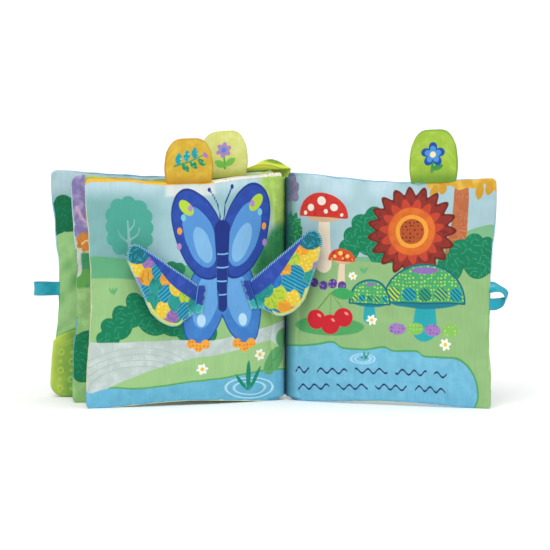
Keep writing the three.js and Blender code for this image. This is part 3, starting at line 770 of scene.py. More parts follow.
def left_page(x, y):
    """The left page of the open spread: a garden with a large butterfly, and a painted highlight along its
    top rim.
    """
    # The pale ground shows only above about 193 mm. It is a painted highlight along the puffed top rim, and
    # the darker teal sky is laid below it.
    art = Print(x, y, "#BAD6DF")
    art.fill("#7FB0B0", 193 - 0.02 * x - y, soft=11)
    art.fill("#A9CCD5", puffs(x, y, [(96, 152, 36), (78, 182, 12)]), soft=24)
    cloud = np.minimum(np.minimum(y - 190.5 - 0.01 * x, 203 - y), np.minimum(x - 73, 118 - x))
    art.fill("#D6DFDB", cloud, soft=2.2)
    tree(art, 38, 159, 25, "#4CA593", "#8ABDBB")
    art.fill("#62AE7E", shore(x, [(-9, 137), (30, 134), (80, 127), (130, 132), (200, 128)]) - y, soft=0.5)
    art.fill("#22805A", puffs(x, y, [(76, 126, 5.5), (83, 124, 6), (69, 122, 4)]))
    art.fill("#98C483", 115.5 + 0.5 * np.sin(x / 24 + 1) - y, soft=0.8)
    art.fill("#C3D9E2", oval(x, y, 171, 160, 8, 11), soft=4)
    art.fill("#A3C760", puffs(x, y, [(182, 194, 20), (190, 176, 19), (184, 166, 12)]), soft=5,
             cloudy="#B4D468")
    art.fill("#3F9258", puffs(x, y, [(184, 140, 20), (174, 126, 20), (178, 108, 16)]), soft=6,
             cloudy="#2F8050")
    art.fill("#92C075", puffs(x, y, [(170, 78, 22), (150, 78, 20)]), soft=7)
    bush(art, [(12, 62.5, 5), (20, 63, 8), (17, 73.5, 6.2), (29, 72, 10), (28, 84, 7), (40, 82, 10),
               (41, 95.5, 7.2), (50, 88, 10), (58, 98, 8), (62, 82, 18), (80, 80, 18), (96, 70, 16),
               (108, 64, 10)], 58)
    grass(art, 21.7, 101, 8, "#5FAE77")
    path = np.minimum(shore(x, [(-9, 59), (70, 58), (110, 57), (135, 60), (160, 66), (196, 74)]) - y, y)
    art.fill("#BCCAC5", path, cloudy="#CAD6D3")
    for k in range(4):
        arch = oval(x, y, 42, 16, 58 - 6 * k, 37 - 5.5 * k)
        art.line("#AEBEB8", arch, 0.7, np.minimum(path, 96 - x))
    art.fill("#5FA468", puffs(x, y, [(186, 56, 9)]), soft=1)
    tongue = shore(x, [(-20, -20), (6, 10), (25, 20.5), (47.6, 28.4), (87.4, 38), (134, 46.5), (167, 54.3),
                       (176, 52), (184, 41), (200, 30)]) - y
    art.fill("#A0C987", tongue, soft=0.5)
    lake = shore(x, [(-12, 10), (3, 13.8), (19.6, 17.6), (57, 14.2), (114, 19), (140.5, 24), (167, 28),
                     (185, 27), (200, 25)])
    art.fill("#5BA968", np.minimum(np.minimum(lake + 1.8, tongue + y) - y, x - 16))
    art.fill("#68B4D3", lake - y, cloudy="#72BBD8")
    leaf = oval(x, y, 175, 37, 15, 8.5, 46)
    art.fill("#63A868", leaf, soft=0.6)
    art.line("#2F8F5A", (y - 37) - (x - 175) * 1.1, 0.9, leaf - 1.5)
    for k in range(3):
        art.line("#2F8F5A", np.abs(y - 33 - 5 * k - (x - 172 - 3.4 * k) * 0.1) + 0.2, 0.9,
                 np.minimum(leaf - 2, 4 - np.abs(x - 172 - 4 * k)))
    ripples(art, 151, 12.6, 23, "#BDE3F3", lake - y)
    reed(art, 149, 9.5, 30, "#15896A")
    daisy(art, 105.3, 29.7, 5.6)
    daisy(art, 159, 42.6, 5.4)
    butterfly(art, 123.6, 123.5, 73, 0.68)
    for cx in (101, 144):
        art.fill("#F3A83A", join(*[disc(x, y, cx + 6.6 * k, 50 + 3.4 * (k % 2), 4.4) for k in range(-1, 2)]),
                 dots="#DD7A30")
    band = y - 202.2 + 0.35 * np.sin(x / 9)
    art.fill("#F1BC3A", band, soft=0.25)
    art.fill("#F3EFE0", np.minimum(band, x - 118), soft=0.25, dots="#E8A23A")
    return art


def right_page(x, y):
    """The right page of the open spread: toadstools, a sunflower, a mushroom and fruits by a pond, with
    painted shade towards the crease and a painted highlight along its top rim.
    """
    art = Print(x, y, "#A6C7CD")
    # Painted shade: a soft darker teal towards the crease.
    art.fill("#7EAFB4", 9 - x, soft=13)
    # Pale patches along the top rim: a painted highlight on the puffed rim.
    art.fill("#BCD8E2", puffs(x, y, [(52, 200, 14), (90, 204, 14), (30, 206, 10)]), soft=9)
    hills = shore(x, [(-9, 140), (60, 134), (110, 138), (150, 150), (175, 160), (210, 168)])
    art.fill("#7DB587", hills - y, soft=0.5)
    art.fill("#7A7090", puffs(x, y, [(3.5, 199, 6), (7, 192, 6), (3, 186, 7), (8.5, 184, 4.5)]), soft=0.5,
             cloudy="#8F86A4")
    art.fill("#B07F7A", stem(x, y, [(4, 168), (4.5, 182)], 0.8, 0.6))
    fan = [(4 + 13 * math.sin(0.5 * k), 138 + 34 * math.cos(0.3 * k)) for k in range(-3, 4)]
    art.fill("#22844F", join(*[blade(x, y, (4, 138), tip, 5) for tip in fan]), leaves="#4BAA6C")
    trunk = stem(x, y, [(161, 132), (165, 160), (167, 206)], 9.5, 6.5)
    art.fill("#B7683F", trunk, strokes="#CC8058")
    drips = 197.5 + 2.6 * np.sin(x / 3.4) * np.sin(x / 11) + np.clip((150 - x) / 9, 0, 3)
    art.fill("#D3A032", np.minimum(y - drips, x - 133), cloudy="#E3B94A")
    for dx, tip in ((139, 189), (147, 192), (182, 186), (191, 190)):
        art.fill("#CC982C", blade(x, y, (dx + 3, 202), (dx, tip), 4))
    bush(art, [(62, 140, 9), (66, 152, 8), (74, 164, 8.5), (86, 172, 8.5), (82, 150, 14), (94, 140, 14)], 130,
         "#127F56", "#349770")
    art.fill("#92BB7D", 129 + 1.2 * np.sin(x / 30) - y, soft=0.8)
    bush(art, [(158, 126, 12), (168, 140, 11), (180, 147, 9), (186, 132, 15), (194, 144, 9)], 116,
         "#127F57", "#34966F")
    sunflower(art, 121, 159, 42)
    toadstool(art, 38, 170, 24, "#D2382F", "#F6E9D8")
    toadstool(art, 55, 130, 13, "#DD5530", "#F9D36A", "#E9D2B4")
    art.fill("#5B3F8E", join(*[disc(x, y, 20 + 9 * k, 106 + 2 * (k % 2), 4.2) for k in range(5)]),
             dots="#9A78C8")
    grass(art, 76, 118, 8, "#5FAE77")
    daisy(art, 66, 116, 4.4)
    patterned_mushroom(art, 134, 94, 38, 34)
    patterned_mushroom(art, 82, 92, 18, 20)
    for k, colour in enumerate(("#A47CBE", "#86C25A", "#A47CBE", "#86C25A")):
        art.fill(colour, oval(x, y, 108 + 17 * k, 68 + (k % 2), 8, 5.4), dots=("#7F58A4", "#A9D870")[k % 2])
    art.fill("#52A562", oval(x, y, 43, 69, 34, 8.4))
    cherries(art, 43, 76, 10.5)
    daisy(art, 84, 76, 5.4)
    daisy(art, 154, 56, 6)
    line = shore(x, [(-12, 47), (0, 48.7), (30, 51), (47, 54), (56, 49), (75, 48), (95, 50), (104, 46.6),
                     (126, 48), (134, 43.5), (158, 43.5), (200, 43)])
    corner = np.where((x > 160) & (y > 12), oval(x, y, 160, 12, 25, 31.5), 185 - 0.028 * (12 - y) ** 2 - x)
    water = np.minimum(line - y, np.where((x < 160) & (y > 12), 40, corner))
    art.fill("#4FA362", water + 1.8)
    art.fill("#70B8D6", water, cloudy="#7AC0DC")
    ripples(art, 75, 40, 11, "#A9DAF0")
    reed(art, 76.5, 38, 12, "#15896A")
    wave_rows(art, 9, 156, (28.5, 13.5))
    # Painted shade: a deep dark teal over everything in the last few millimetres at the crease.
    art.fill("#1E5260", 4 - x, soft=9)
    return art


def second_page(x, y):
    """Leaf 2's front: blossom, flowers and a large bush."""
    art = Print(x, y, "#B4CDD0")
    art.fill("#C9D2C6", 148 - y, soft=8)
    art.fill("#3F9466", np.minimum(134 + 2 * np.sin(x / 32 + 2) - y, x - 5), soft=1)
    art.fill("#5DA650", np.minimum(puffs(x, y, [(4, 108, 6), (10, 115, 6), (17, 110, 7)]), y - 101), soft=0.5)
    art.fill("#8FBF79", 103 + 2 * np.sin(x / 20) - y, soft=1.5, cloudy="#9FCB85")
    art.fill("#8278B0", puffs(x, y, [(8, 190, 14), (22, 198, 14), (5, 172, 12), (6, 158, 9),
                                     (30, 184, 13)]), soft=1, cloudy="#A9A0CE")
    art.fill("#CFAECB", stem(x, y, [(4, 176), (8, 166), (16, 160), (26, 158)], 1.6, 1.2), soft=1)
    art.fill("#CF8A3A", petals(x, y, 10, 145, 6.5, 9.5, 7), strokes="#C2762C")
    art.fill("#EBCFA2", stem(x, y, [(6, 143), (10, 146), (14, 146.5)], 0.9, 0.6))
    art.fill("#B4CC70", np.minimum(y - 199, x - 12), soft=2)
    bush(art, [(9, 38, 18), (12, 52, 13), (34, 50, 20), (60, 44, 24), (90, 50, 20), (118, 42, 20)], 1.5,
         "#0A7850", "#239066")
    sunflower(art, 118, 142, 36)
    toadstool(art, 62, 138, 20, "#4F93DB", "#EAF4FA")
    daisy(art, 150, 88, 8)
    daisy(art, 165, 60, 6, "#E9B8D8")
    return art


def inner_cover(x, y):
    """The front cover's inside: a field under a pale sky."""
    art = Print(x, y, "#AECAD0")
    art.fill("#97BABB", 186 - y, soft=6)
    bush(art, [(2, 172, 5), (10, 173, 9), (22, 170, 9), (34, 166, 11), (120, 168, 16), (150, 164, 15),
               (4, 158, 10), (24, 158, 16)], 147, "#066C45", "#0F7B52")
    art.fill("#97C580", 147.5 - y, soft=0.5, cloudy="#9FCB88")
    art.fill("#77B26C", puffs(x, y, [(10, 116, 5), (18, 100, 7), (3, 88, 4), (60, 108, 14),
                                     (96, 92, 12)]), soft=6)
    for k in range(4):
        daisy(art, 64 + 34 * k, 118 + 9 * (k % 2), 7, ("#F7F6EE", "#F3B8CF")[k % 2])
    tree(art, 150, 128, 22, "#4DB89A", "#E0A078")
    return art


def warm_page(x, y):
    """Leaf 3's rear: an evening field in warm colours."""
    art = Print(x, y, "#F3EFE0")
    art.fill("#F1BC3A", x - 70, soft=1, cloudy="#F6CF66")
    art.fill("#E8A23A", join(*[disc(x, y, 14 + 13 * k, 190 - 9 * (k % 3), 3.4) for k in range(5)]))
    art.fill("#E98F4A", 120 + 8 * np.sin(x / 24) - y, soft=1)
    art.fill("#B9D45A", 78 + 6 * np.sin(x / 30 + 1) - y, soft=0.6, strokes="#8FBF4A")
    sunflower(art, 60, 118, 34)
    toadstool(art, 132, 96, 24, "#D63A30", "#F6E9D8")
    daisy(art, 100, 50, 8)
    daisy(art, 150, 36, 6, "#F3B8CF")
    bush(art, [(20, 22, 18), (44, 26, 16), (160, 20, 18)], 4)
    art.fill("#D5DFB6", np.minimum(np.maximum(x - 180, 4 - y), 197 - y), soft=0.6)
    return art


def lake_page(x, y):
    """Leaf 2's rear: a lake with reeds."""
    art = Print(x, y, "#CFEAF4")
    art.fill("#F2F8F8", puffs(x, y, [(40, 176, 12), (56, 182, 14), (74, 176, 11)]), soft=2)
    art.fill("#7CC48C", 138 + 8 * np.sin(x / 28) - y, soft=0.6)
    art.fill("#A9D48A", 108 - y + 3 * np.sin(x / 19), soft=2)
    tree(art, 142, 142, 26, "#3FA882", "#D99A72")
    pond(art, 72 + 4 * np.sin(x / 22))
    ripples(art, 60, 44, 26, "#B5E2F5")
    reed(art, 58, 40, 46, "#12896A")
    ripples(art, 132, 28, 20, "#B5E2F5")
    reed(art, 134, 26, 34, "#12896A")
    cherries(art, 92, 98, 10)
    daisy(art, 28, 92, 7)
    return art


def outer_cover(x, y, mirror=False):
    """The outside of a cover: hills, a tree and flowers under a blue sky."""
    art = Print(x, y, "#8ACBEA")
    u = COVER_WIDTH - x if mirror else x
    art.x = u
    art.fill("#B5E0F2", 150 - y, soft=26)
    art.fill("#F4FAFB", puffs(u, y, [(44, 172, 11), (58, 178, 14), (75, 173, 11)]), soft=0.8)
    art.fill("#F4FAFB", puffs(u, y, [(138, 184, 8), (149, 188, 10), (161, 184, 8)]), soft=0.8)
    art.fill("#63B97E", 108 + 14 * np.sin(u / 34) - y, soft=0.5)
    art.fill("#93CC7C", 82 + 9 * np.sin(u / 27 + 2) - y, soft=0.5, cloudy="#A6D68E")
    tree(art, 150, 132, 30, "#2FA080", "#E08A6A")
    bush(art, [(20, 66, 15), (38, 72, 17), (58, 65, 13)], 52)
    art.fill("#B4DA90", 54 + 4 * np.sin(u / 21) - y, soft=0.5)
    sunflower(art, 72, 104, 25)
    toadstool(art, 116, 76, 17, "#D63A30", "#F6E9D8")
    for k, colour in enumerate(("#F7F6EE", "#F3B8CF", "#F7F6EE", "#FBE08A", "#F7F6EE")):
        daisy(art, 22 + 36 * k, 34 - 8 * (k % 2), 8, colour)
    pond(art, 12 + 3 * np.sin(u / 16))
    art.x = x
    return art


# Materials


def linear(colour):
    """An sRGB hex colour as linear red, green, blue and alpha."""
    parts = [int(colour[k:k + 2], 16) / 255 for k in (1, 3, 5)]
    return [p / 12.92 if p <= 0.04045 else ((p + 0.055) / 1.055) ** 2.4 for p in parts] + [1.0]


def node(tree_, kind, inputs=None, **settings):
    """Adds a shader node with its settings. inputs gives each socket a value or another node's output."""
    made = tree_.nodes.new("ShaderNode" + kind)
    for key, value in settings.items():
        setattr(made, key, value)
    for key, value in (inputs or {}).items():
        if isinstance(value, bpy.types.NodeSocket):
            tree_.links.new(value, made.inputs[key])
        else:
            made.inputs[key].default_value = value
    return made


MIX_SHARE, MIX_A, MIX_B, MIX_RESULT = 0, 6, 7, 2


def ramp(tree_, value, low, high, start=0.0, end=1.0, kind="LINEAR"):
    """The output of a node that takes a value's way from low to high as one from start to end."""
    return node(tree_, "MapRange", {"Value": value, "From Min": low, "From Max": high, "To Min": start,
                                    "To Max": end}, interpolation_type=kind).outputs[0]


def cloth_place(tree_):
    """The place on the flat cloth."""
    return node(tree_, "UVMap", uv_map="cloth").outputs[0]


def blank_material(name, roughness, specular=0.4, sheen=0.0, sheen_roughness=0.5):
    """A material with its surface shader, and the tree and shader to add to."""
    material = bpy.data.materials.new(name)
    material.use_nodes = True
    tree_ = material.node_tree
    tree_.nodes.clear()
    shader = node(tree_, "BsdfPrincipled", {"Roughness": roughness, "Specular IOR Level": specular,
                                            "Sheen Weight": sheen, "Sheen Roughness": sheen_roughness})
    node(tree_, "OutputMaterial", {"Surface": shader.outputs[0]})
    return material, tree_, shader


def blended(tree_, share, first, second, kind="MIX"):
    """The colour output of a mix of two colours, each a hex value or a socket."""
    inputs = {MIX_SHARE: share}
    for socket, colour in ((MIX_A, first), (MIX_B, second)):
        inputs[socket] = linear(colour) if isinstance(colour, str) else colour
    return node(tree_, "Mix", inputs, data_type="RGBA", blend_type=kind).outputs[MIX_RESULT]


def cloth_grains(tree_, place):
    """Printed textures, each a share from 0 to 1 made when it is first asked for."""
    made = {}

    def smooth(value, low, high):
        return ramp(tree_, value, low, high, kind="SMOOTHSTEP")

    def grain(kind):
        if kind in made:
            return made[kind]
        if kind == "cloudy":
            noise = node(tree_, "TexNoise", {"Vector": place, "Scale": 1 / (9 * MM), "Detail": 3.0})
            made[kind] = smooth(noise.outputs[0], 0.42, 0.66)
        elif kind == "strokes":
            bent = node(tree_, "TexNoise", {"Vector": place, "Scale": 1 / (16 * MM), "Detail": 1.0})
            turned = node(tree_, "VectorRotate", {"Vector": place, "Angle": bent.outputs[0]},
                          rotation_type="Z_AXIS")
            turned.inputs["Center"].default_value = (0.09, 0.1, 0)
            stretched = node(tree_, "Mapping", {"Vector": turned.outputs[0], "Scale": (1, 0.28, 1)})
            noise = node(tree_, "TexNoise", {"Vector": stretched.outputs[0], "Scale": 1 / (2.6 * MM),
                                             "Detail": 1.0})
            made[kind] = smooth(noise.outputs[0], 0.52, 0.64)
        elif kind == "leaves":
            cells = node(tree_, "TexVoronoi", {"Vector": place, "Scale": 1 / (5.8 * MM), "Randomness": 0.9})
            spot = node(tree_, "VectorMath", {0: place, 1: cells.outputs["Position"]}, operation="SUBTRACT")
            chance = node(tree_, "SeparateXYZ", {0: cells.outputs["Color"]})
            angle = node(tree_, "Math", {0: chance.outputs[0], 1: math.tau}, operation="MULTIPLY")
            turned = node(tree_, "VectorRotate", {"Vector": spot.outputs[0], "Angle": angle.outputs[0]},
                          rotation_type="Z_AXIS")
            leaf_scale = (1 / (3.3 * MM), 1 / (0.62 * MM), 0)
            squeezed = node(tree_, "VectorMath", {0: turned.outputs[0], 1: leaf_scale}, operation="MULTIPLY")
            length = node(tree_, "VectorMath", {0: squeezed.outputs[0]}, operation="LENGTH")
            made[kind] = smooth(length.outputs["Value"], 1.15, 0.75)
        elif kind == "dots":
            cells = node(tree_, "TexVoronoi", {"Vector": place, "Scale": 1 / (3.4 * MM), "Randomness": 0.35})
            made[kind] = smooth(cells.outputs["Distance"], 0.34, 0.24)
        else:
            waves = node(tree_, "TexWave", {"Vector": place, "Scale": 1 / (7 * MM), "Distortion": 1.2},
                         bands_direction="DIAGONAL")
            made[kind] = smooth(waves.outputs[1], 0.5, 0.62)
        return made[kind]

    return grain


def finish_cloth(tree_, shader, place, colour, thread, bump_depth):
    """Yarn streaks and weave for a plain-woven cloth, then its colour and bump on the shader.

    thread is the spacing of the yarns in millimetres.
    """
    yarn = node(tree_, "Mapping", {"Vector": place, "Scale": (1 / (thread * MM), 1 / (26 * thread * MM), 1)})
    streaks = node(tree_, "TexNoise", {"Vector": yarn.outputs[0], "Scale": 1.0, "Detail": 2.0})
    blotches = node(tree_, "TexNoise", {"Vector": place, "Scale": 1 / (24 * MM), "Detail": 2.0})
    shade = ramp(tree_, streaks.outputs[0], 0.25, 0.75, 0.93, 1.04)
    tone = ramp(tree_, blotches.outputs[0], 0.3, 0.7, 0.96, 1.03)
    both = node(tree_, "Math", {0: shade, 1: tone}, operation="MULTIPLY")
    scaled = node(tree_, "VectorMath", {0: colour, "Scale": both.outputs[0]}, operation="SCALE")
    tree_.links.new(scaled.outputs[0], shader.inputs["Base Color"])
    weave = node(tree_, "TexBrick", {"Vector": place, "Scale": 1 / (2 * thread * MM), "Mortar Size": 0.12,
                                     "Mortar Smooth": 1.0, "Brick Width": 1.0, "Row Height": 0.5})
    creases = node(tree_, "TexNoise", {"Vector": place, "Scale": 1 / (13 * MM), "Detail": 3.0,
                                       "Distortion": 1.2})
    fine = node(tree_, "Bump", {"Height": weave.outputs["Fac"], "Strength": 0.25, "Distance": 0.12 * MM})
    fine.invert = True
    coarse = node(tree_, "Bump", {"Height": creases.outputs[0], "Strength": 0.5,
                                  "Distance": bump_depth * MM, "Normal": fine.outputs[0]})
    tree_.links.new(coarse.outputs[0], shader.inputs["Normal"])


def printed_polyester(name, art, prefix):
    """Plain-woven polyester with a heat-set print: faint upright yarn streaks and a soft low gloss."""
    material, tree_, shader = blank_material(name, 0.6, 0.2, 0.03, 0.4)
    place = cloth_place(tree_)
    grain = cloth_grains(tree_, place)
    colour = linear(art.ground)
    for k, layer in enumerate(art.layers):
        value = node(tree_, "Attribute", attribute_name=f"{prefix}{k:02d}").outputs["Fac"]
        if layer["line"] is not None:
            size = node(tree_, "Math", {0: value}, operation="ABSOLUTE").outputs[0]
            value = node(tree_, "Math", {0: layer["line"], 1: size}, operation="SUBTRACT").outputs[0]
        share = ramp(tree_, value, -layer["soft"], layer["soft"], kind="SMOOTHSTEP")
        ink = layer["colour"]
        if layer["grain"]:
            kind, second = layer["grain"]
            ink = blended(tree_, grain(kind), ink, second)
        colour = blended(tree_, share, colour, ink)
    finish_cloth(tree_, shader, place, colour, 0.9, 0.5)
    return material


def plain_polyester(name, colour, second):
    """Dyed plain-woven polyester, a little uneven in colour."""
    material, tree_, shader = blank_material(name, 0.65, 0.35, 0.12, 0.4)
    place = cloth_place(tree_)
    tint = blended(tree_, cloth_grains(tree_, place)("cloudy"), colour, second)
    finish_cloth(tree_, shader, place, tint, 0.8, 0.3)
    return material


def woven_satin(name, colour, edge):
    """Polyester satin ribbon: fine lengthwise yarns, a soft stretched gloss and firmer woven edges."""
    material, tree_, shader = blank_material(name, 0.34, 0.55, 0.1, 0.3)
    shader.inputs["Anisotropic"].default_value = 0.4
    place = cloth_place(tree_)
    yarn = node(tree_, "Mapping", {"Vector": place, "Scale": (1 / (9 * MM), 1 / (0.5 * MM), 1)})
    streaks = node(tree_, "TexNoise", {"Vector": yarn.outputs[0], "Scale": 1.0, "Detail": 2.0})
    side = node(tree_, "Attribute", attribute_name="edge").outputs["Fac"]
    tint = blended(tree_, ramp(tree_, side, 0.5, 1.1, 1.0, 0.0), colour, edge)
    shade = ramp(tree_, streaks.outputs[0], 0.3, 0.7, 0.9, 1.06)
    scaled = node(tree_, "VectorMath", {0: tint, "Scale": shade}, operation="SCALE")
    tree_.links.new(scaled.outputs[0], shader.inputs["Base Color"])
    bumped = node(tree_, "Bump", {"Height": streaks.outputs[0], "Strength": 0.3, "Distance": 0.1 * MM})
    tree_.links.new(bumped.outputs[0], shader.inputs["Normal"])
    return material


def moulded_silicone(name, light, dark):
    """Moulded silicone rubber: a satin skin, faintly clouded, that lets a little light through, with painted
    light in its colour.
    """
    material, tree_, shader = blank_material(name, 0.38, 0.5)
    shader.inputs["Subsurface Weight"].default_value = 0.12
    shader.inputs["Subsurface Radius"].default_value = (0.003, 0.004, 0.0012)
    place = node(tree_, "TexCoord").outputs["Object"]
    relief = node(tree_, "Attribute", attribute_name="relief").outputs["Fac"]
    cloud = node(tree_, "TexNoise", {"Vector": place, "Scale": 1 / (14 * MM), "Detail": 2.0})
    inward = node(tree_, "Attribute", attribute_name="inward").outputs["Fac"]
    depth = node(tree_, "Math", {0: inward, 1: cloud.outputs[0]}, operation="ADD")
    # Painted highlight: pale at the outer rim, where the rubber catches and passes light, and darker inward.
    body = blended(tree_, ramp(tree_, depth.outputs[0], 0.4, 1.4), light, dark)
    # Painted highlight: the raised ribs, rings and dots are made paler.
    tint = blended(tree_, ramp(tree_, relief, 0.0, 1.0, 0.0, 0.7), body, light)
    tree_.links.new(tint, shader.inputs["Base Color"])
    grit = node(tree_, "TexNoise", {"Vector": place, "Scale": 1 / (0.9 * MM), "Detail": 2.0})
    bumped = node(tree_, "Bump", {"Height": grit.outputs[0], "Strength": 0.15, "Distance": 0.05 * MM})
    tree_.links.new(bumped.outputs[0], shader.inputs["Normal"])
    return material


def sewing_thread(name, colour, dark):
    """Twisted polyester thread: fine slanted plies with a soft gloss."""
    material, tree_, shader = blank_material(name, 0.5, 0.45, 0.2, 0.3)
    place = node(tree_, "TexCoord").outputs["Object"]
    plies = node(tree_, "TexWave", {"Vector": place, "Scale": 1 / (3 * MM), "Distortion": 0.5},
                 bands_direction="DIAGONAL")
    tint = blended(tree_, ramp(tree_, plies.outputs[1], 0.3, 0.7), dark, colour)
    tree_.links.new(tint, shader.inputs["Base Color"])
    return material


# Padded leaves


def two_sided_fields(grid, prints, prefixes):
    """Both faces' print layers as vertex fields. A face's layers are far outside on the other face."""
    fields = {}
    away = np.full(grid.shape, -float(FAR))
    for k, (art, prefix) in enumerate(zip(prints, prefixes)):
        for n, layer in enumerate(art.layers):
            field = np.broadcast_to(layer["field"], grid.shape)
            pair = (field, away) if k == 0 else (np.where(grid.inner, away, field), field)
            fields[f"{prefix}{n:02d}"] = grid.gather(*pair)
    return fields


def printed_faces(grid, name, designs):
    """The materials and vertex fields of a pouch with a design on its front and one on its rear."""
    prefixes = (name + "_f", name + "_r")
    materials = [printed_polyester(f"{name}_{side}_print", art, prefix)
                 for side, art, prefix in zip(("front", "rear"), designs, prefixes)]
    return materials, two_sided_fields(grid, designs, prefixes)


def leaf_grid(leaf, step):
    """The grid of a leaf's pouch, without the cells of the teether's notch."""
    if not leaf.notched:
        return PouchGrid(rim_lines(0, leaf.width, step), rim_lines(0, PAGE_HEIGHT, step))
    start = leaf.notch_start
    columns = np.concatenate([rim_lines(0, start, step), rim_lines(start, leaf.width, step)[1:]])
    rows = np.concatenate([rim_lines(0, TEETHER_SHOULDER, step),
                           rim_lines(TEETHER_SHOULDER, PAGE_HEIGHT, step)[1:]])
    keep = (columns[:-1, None] + 0.01 < start) | (rows[None, :-1] + 0.01 > TEETHER_SHOULDER)
    return PouchGrid(columns, rows, keep)


def build_pad(leaf, words, step, prints, seed):
    """A leaf: two printed cloths sewn at their rims and swollen by the wadding between them.

    The depth is the leaf's half thickness times a round rim, with the simulated puckers and the small
    folds at the seams added. words name its two cloths in the frame.
    """
    name = leaf.body + "_pad"
    grid = leaf_grid(leaf, step)
    s, z = grid.a, grid.b
    fields = swollen_pouch(name + "_pouch", leaf.width, PAGE_HEIGHT, seed)
    puckers = [resample(f, s[:, 0], z[0], leaf.width, PAGE_HEIGHT) for f in fields]
    puckers[2] = np.minimum(puckers[2], PUCKER_OUT)
    puckers[3] = np.maximum(puckers[3], -PUCKER_OUT)
    reach, height = stand(leaf, s, z)
    rims = [s, leaf.width - s, z, PAGE_HEIGHT - z]
    distance = np.minimum(np.minimum.reduce(rims), notch_distance(leaf, s, z))
    fade = rounded(np.where(grid.inner, distance, 0), SEAM_ROUND)
    half = half_thickness(leaf, s, z) * fade
    folds = []
    for side in (0, 1):
        total = np.zeros(grid.shape)
        for k, (rim, (spacing, deep)) in enumerate(zip(rims, SEAM_FOLDS)):
            line, length = (z, PAGE_HEIGHT) if k < 2 else (s, leaf.width)
            total += pinches(line, rim, length, seed * 10 + k + 40 * side, spacing, deep)
        folds.append(total * fade)
    across = reach + puckers[0]
    height = np.maximum(height + puckers[1] * np.clip(z / SHOULDER_LINE, 0, 1), 0)
    front = leaf_point(leaf, across, height, half + puckers[2] - folds[0])
    rear = leaf_point(leaf, across, height, puckers[3] - half + folds[1])
    left_first = s if leaf.side > 0 else leaf.width - s
    designs = [prints[0](left_first, z), prints[1](leaf.width - left_first, z)]
    piece = grid.build(name, front, rear, *printed_faces(grid, name, designs))
    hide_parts(*[f"{leaf.body}_{word}" for word in (*words, "crinkle_film", "wadding")])
    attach(piece, leaf.body)


PAGE_STEP = 1.5
PLAIN_STEP = 2.1
COVER_CLOTHS = ("inside_cloth", "outside_cloth")
PAGE_CLOTHS = ("front_cloth", "rear_cloth")

build_pad(front_cover, COVER_CLOTHS, PLAIN_STEP, (inner_cover, outer_cover), 3)
build_pad(leaf_two, PAGE_CLOTHS, PLAIN_STEP, (second_page, lake_page), 5)
build_pad(leaf_three, PAGE_CLOTHS, PAGE_STEP, (left_page, warm_page), 7)
build_pad(back_cover, COVER_CLOTHS, PAGE_STEP, (right_page, lambda x, y: outer_cover(x, y, True)), 9)


# Tabs


# A tab's ground, the clouds on it, and the darker tone of its rim line, which is also laid at its foot as
# painted shade
TAB_COLOURS = {"orange": ("#D3AA34", "#DCBC46", "#C2902A"), "yellow": ("#D9DE7E", "#E2E694", "#C6CC58"),
               "lime": ("#9CBF3E", "#AACB50", "#6E9A30"), "cover": ("#D2DE44", "#DEE45C", "#A8BC34")}


def tab_print(kind, x, y, height):
    """A tab's design: x runs from its middle and y from its foot."""
    ground, clouds, rim = TAB_COLOURS[kind]
    art = Print(x, y, ground)
    art.fill(ground, np.full(x.shape, 20.0), cloudy=clouds)
    if kind == "orange":
        art.fill("#2E9F6A", stem(x, y, [(-13, 15), (0, 18), (13, 24)], 0.9, 0.5))
        art.fill("#1F9FA8", join(*[blade(x, y, (-10 + 7 * k, 15.6 + 2.2 * k), (-9 + 7 * k, 26 + 2 * k), 2.9)
                                   for k in range(3)]), dots="#7FD0C0")
        art.fill("#2E8F5F", join(*[blade(x, y, (-7 + 7 * k, 16 + 2.2 * k), (0 + 7 * k, 9.6 + 2.4 * k), 2.6)
                                   for k in range(3)]), dots="#8FCF6A")
        art.fill("#B47CB8", disc(x, y, 14, 24.6, 2.4))
    elif kind == "yellow":
        art.fill("#58B84A", stem(x, y, [(1, 8), (0, 20)], 1.1, 0.8))
        art.fill("#7CC653", join(blade(x, y, (1, 10), (10, 16), 3), blade(x, y, (1, 9), (-8, 15), 3)))
        art.fill("#B48CC8", petals(x, y, 0, 23.5, 3.4, 6.8, 6, turn=20, sharp=0.7))
        art.fill("#4F93DB", disc(x, y, 0, 23.5, 2.3))
    elif kind == "lime":
        art.fill("#2E8F4F", join(stem(x, y, [(-1, 9), (0, 20)], 1.2, 1), blade(x, y, (-1, 11), (9, 15), 2.6)))
        art.fill("#1F4FA0", petals(x, y, 0, 24, 5.2, 10.6, 5, turn=90, sharp=0.7))
        art.fill("#4F93DB", petals(x, y, 0, 24, 3.6, 7.4, 5, turn=90, sharp=0.7))
        art.fill("#F3E9B0", disc(x, y, 0, 24, 2.6))
        # Painted shade: darker towards the foot.
        art.fill("#7FA43C", 9 - y, soft=7)
        art.fill("#3F9A4A", join(blade(x, y, (-16, 1), (-8, 2.4), 1.5), blade(x, y, (8, 1), (17, 3), 1.6)))
    else:
        art.fill("#DCD848", height * 0.13 + 0.06 * x - y, soft=1.2)
        art.line("#A2AC2E", y - height * 0.14 - 0.06 * x, 1.3)
        art.fill("#6E9634", oval(x, y, 8, height * 0.32, 7.5, 4), soft=1.6, strokes="#A9C63E")
    edge = np.minimum(TAB_WIDTH / 2 - np.abs(x), (1 - y / height) * height)
    # The rim tone over the lowest few millimetres is painted shade at the foot. Along the sides and head it
    # makes a thin darker line.
    art.fill(rim, 4 - y - 0.8 * np.cos(x / 4), soft=5)
    art.fill(rim, 1.0 - edge, soft=0.9)
    return art


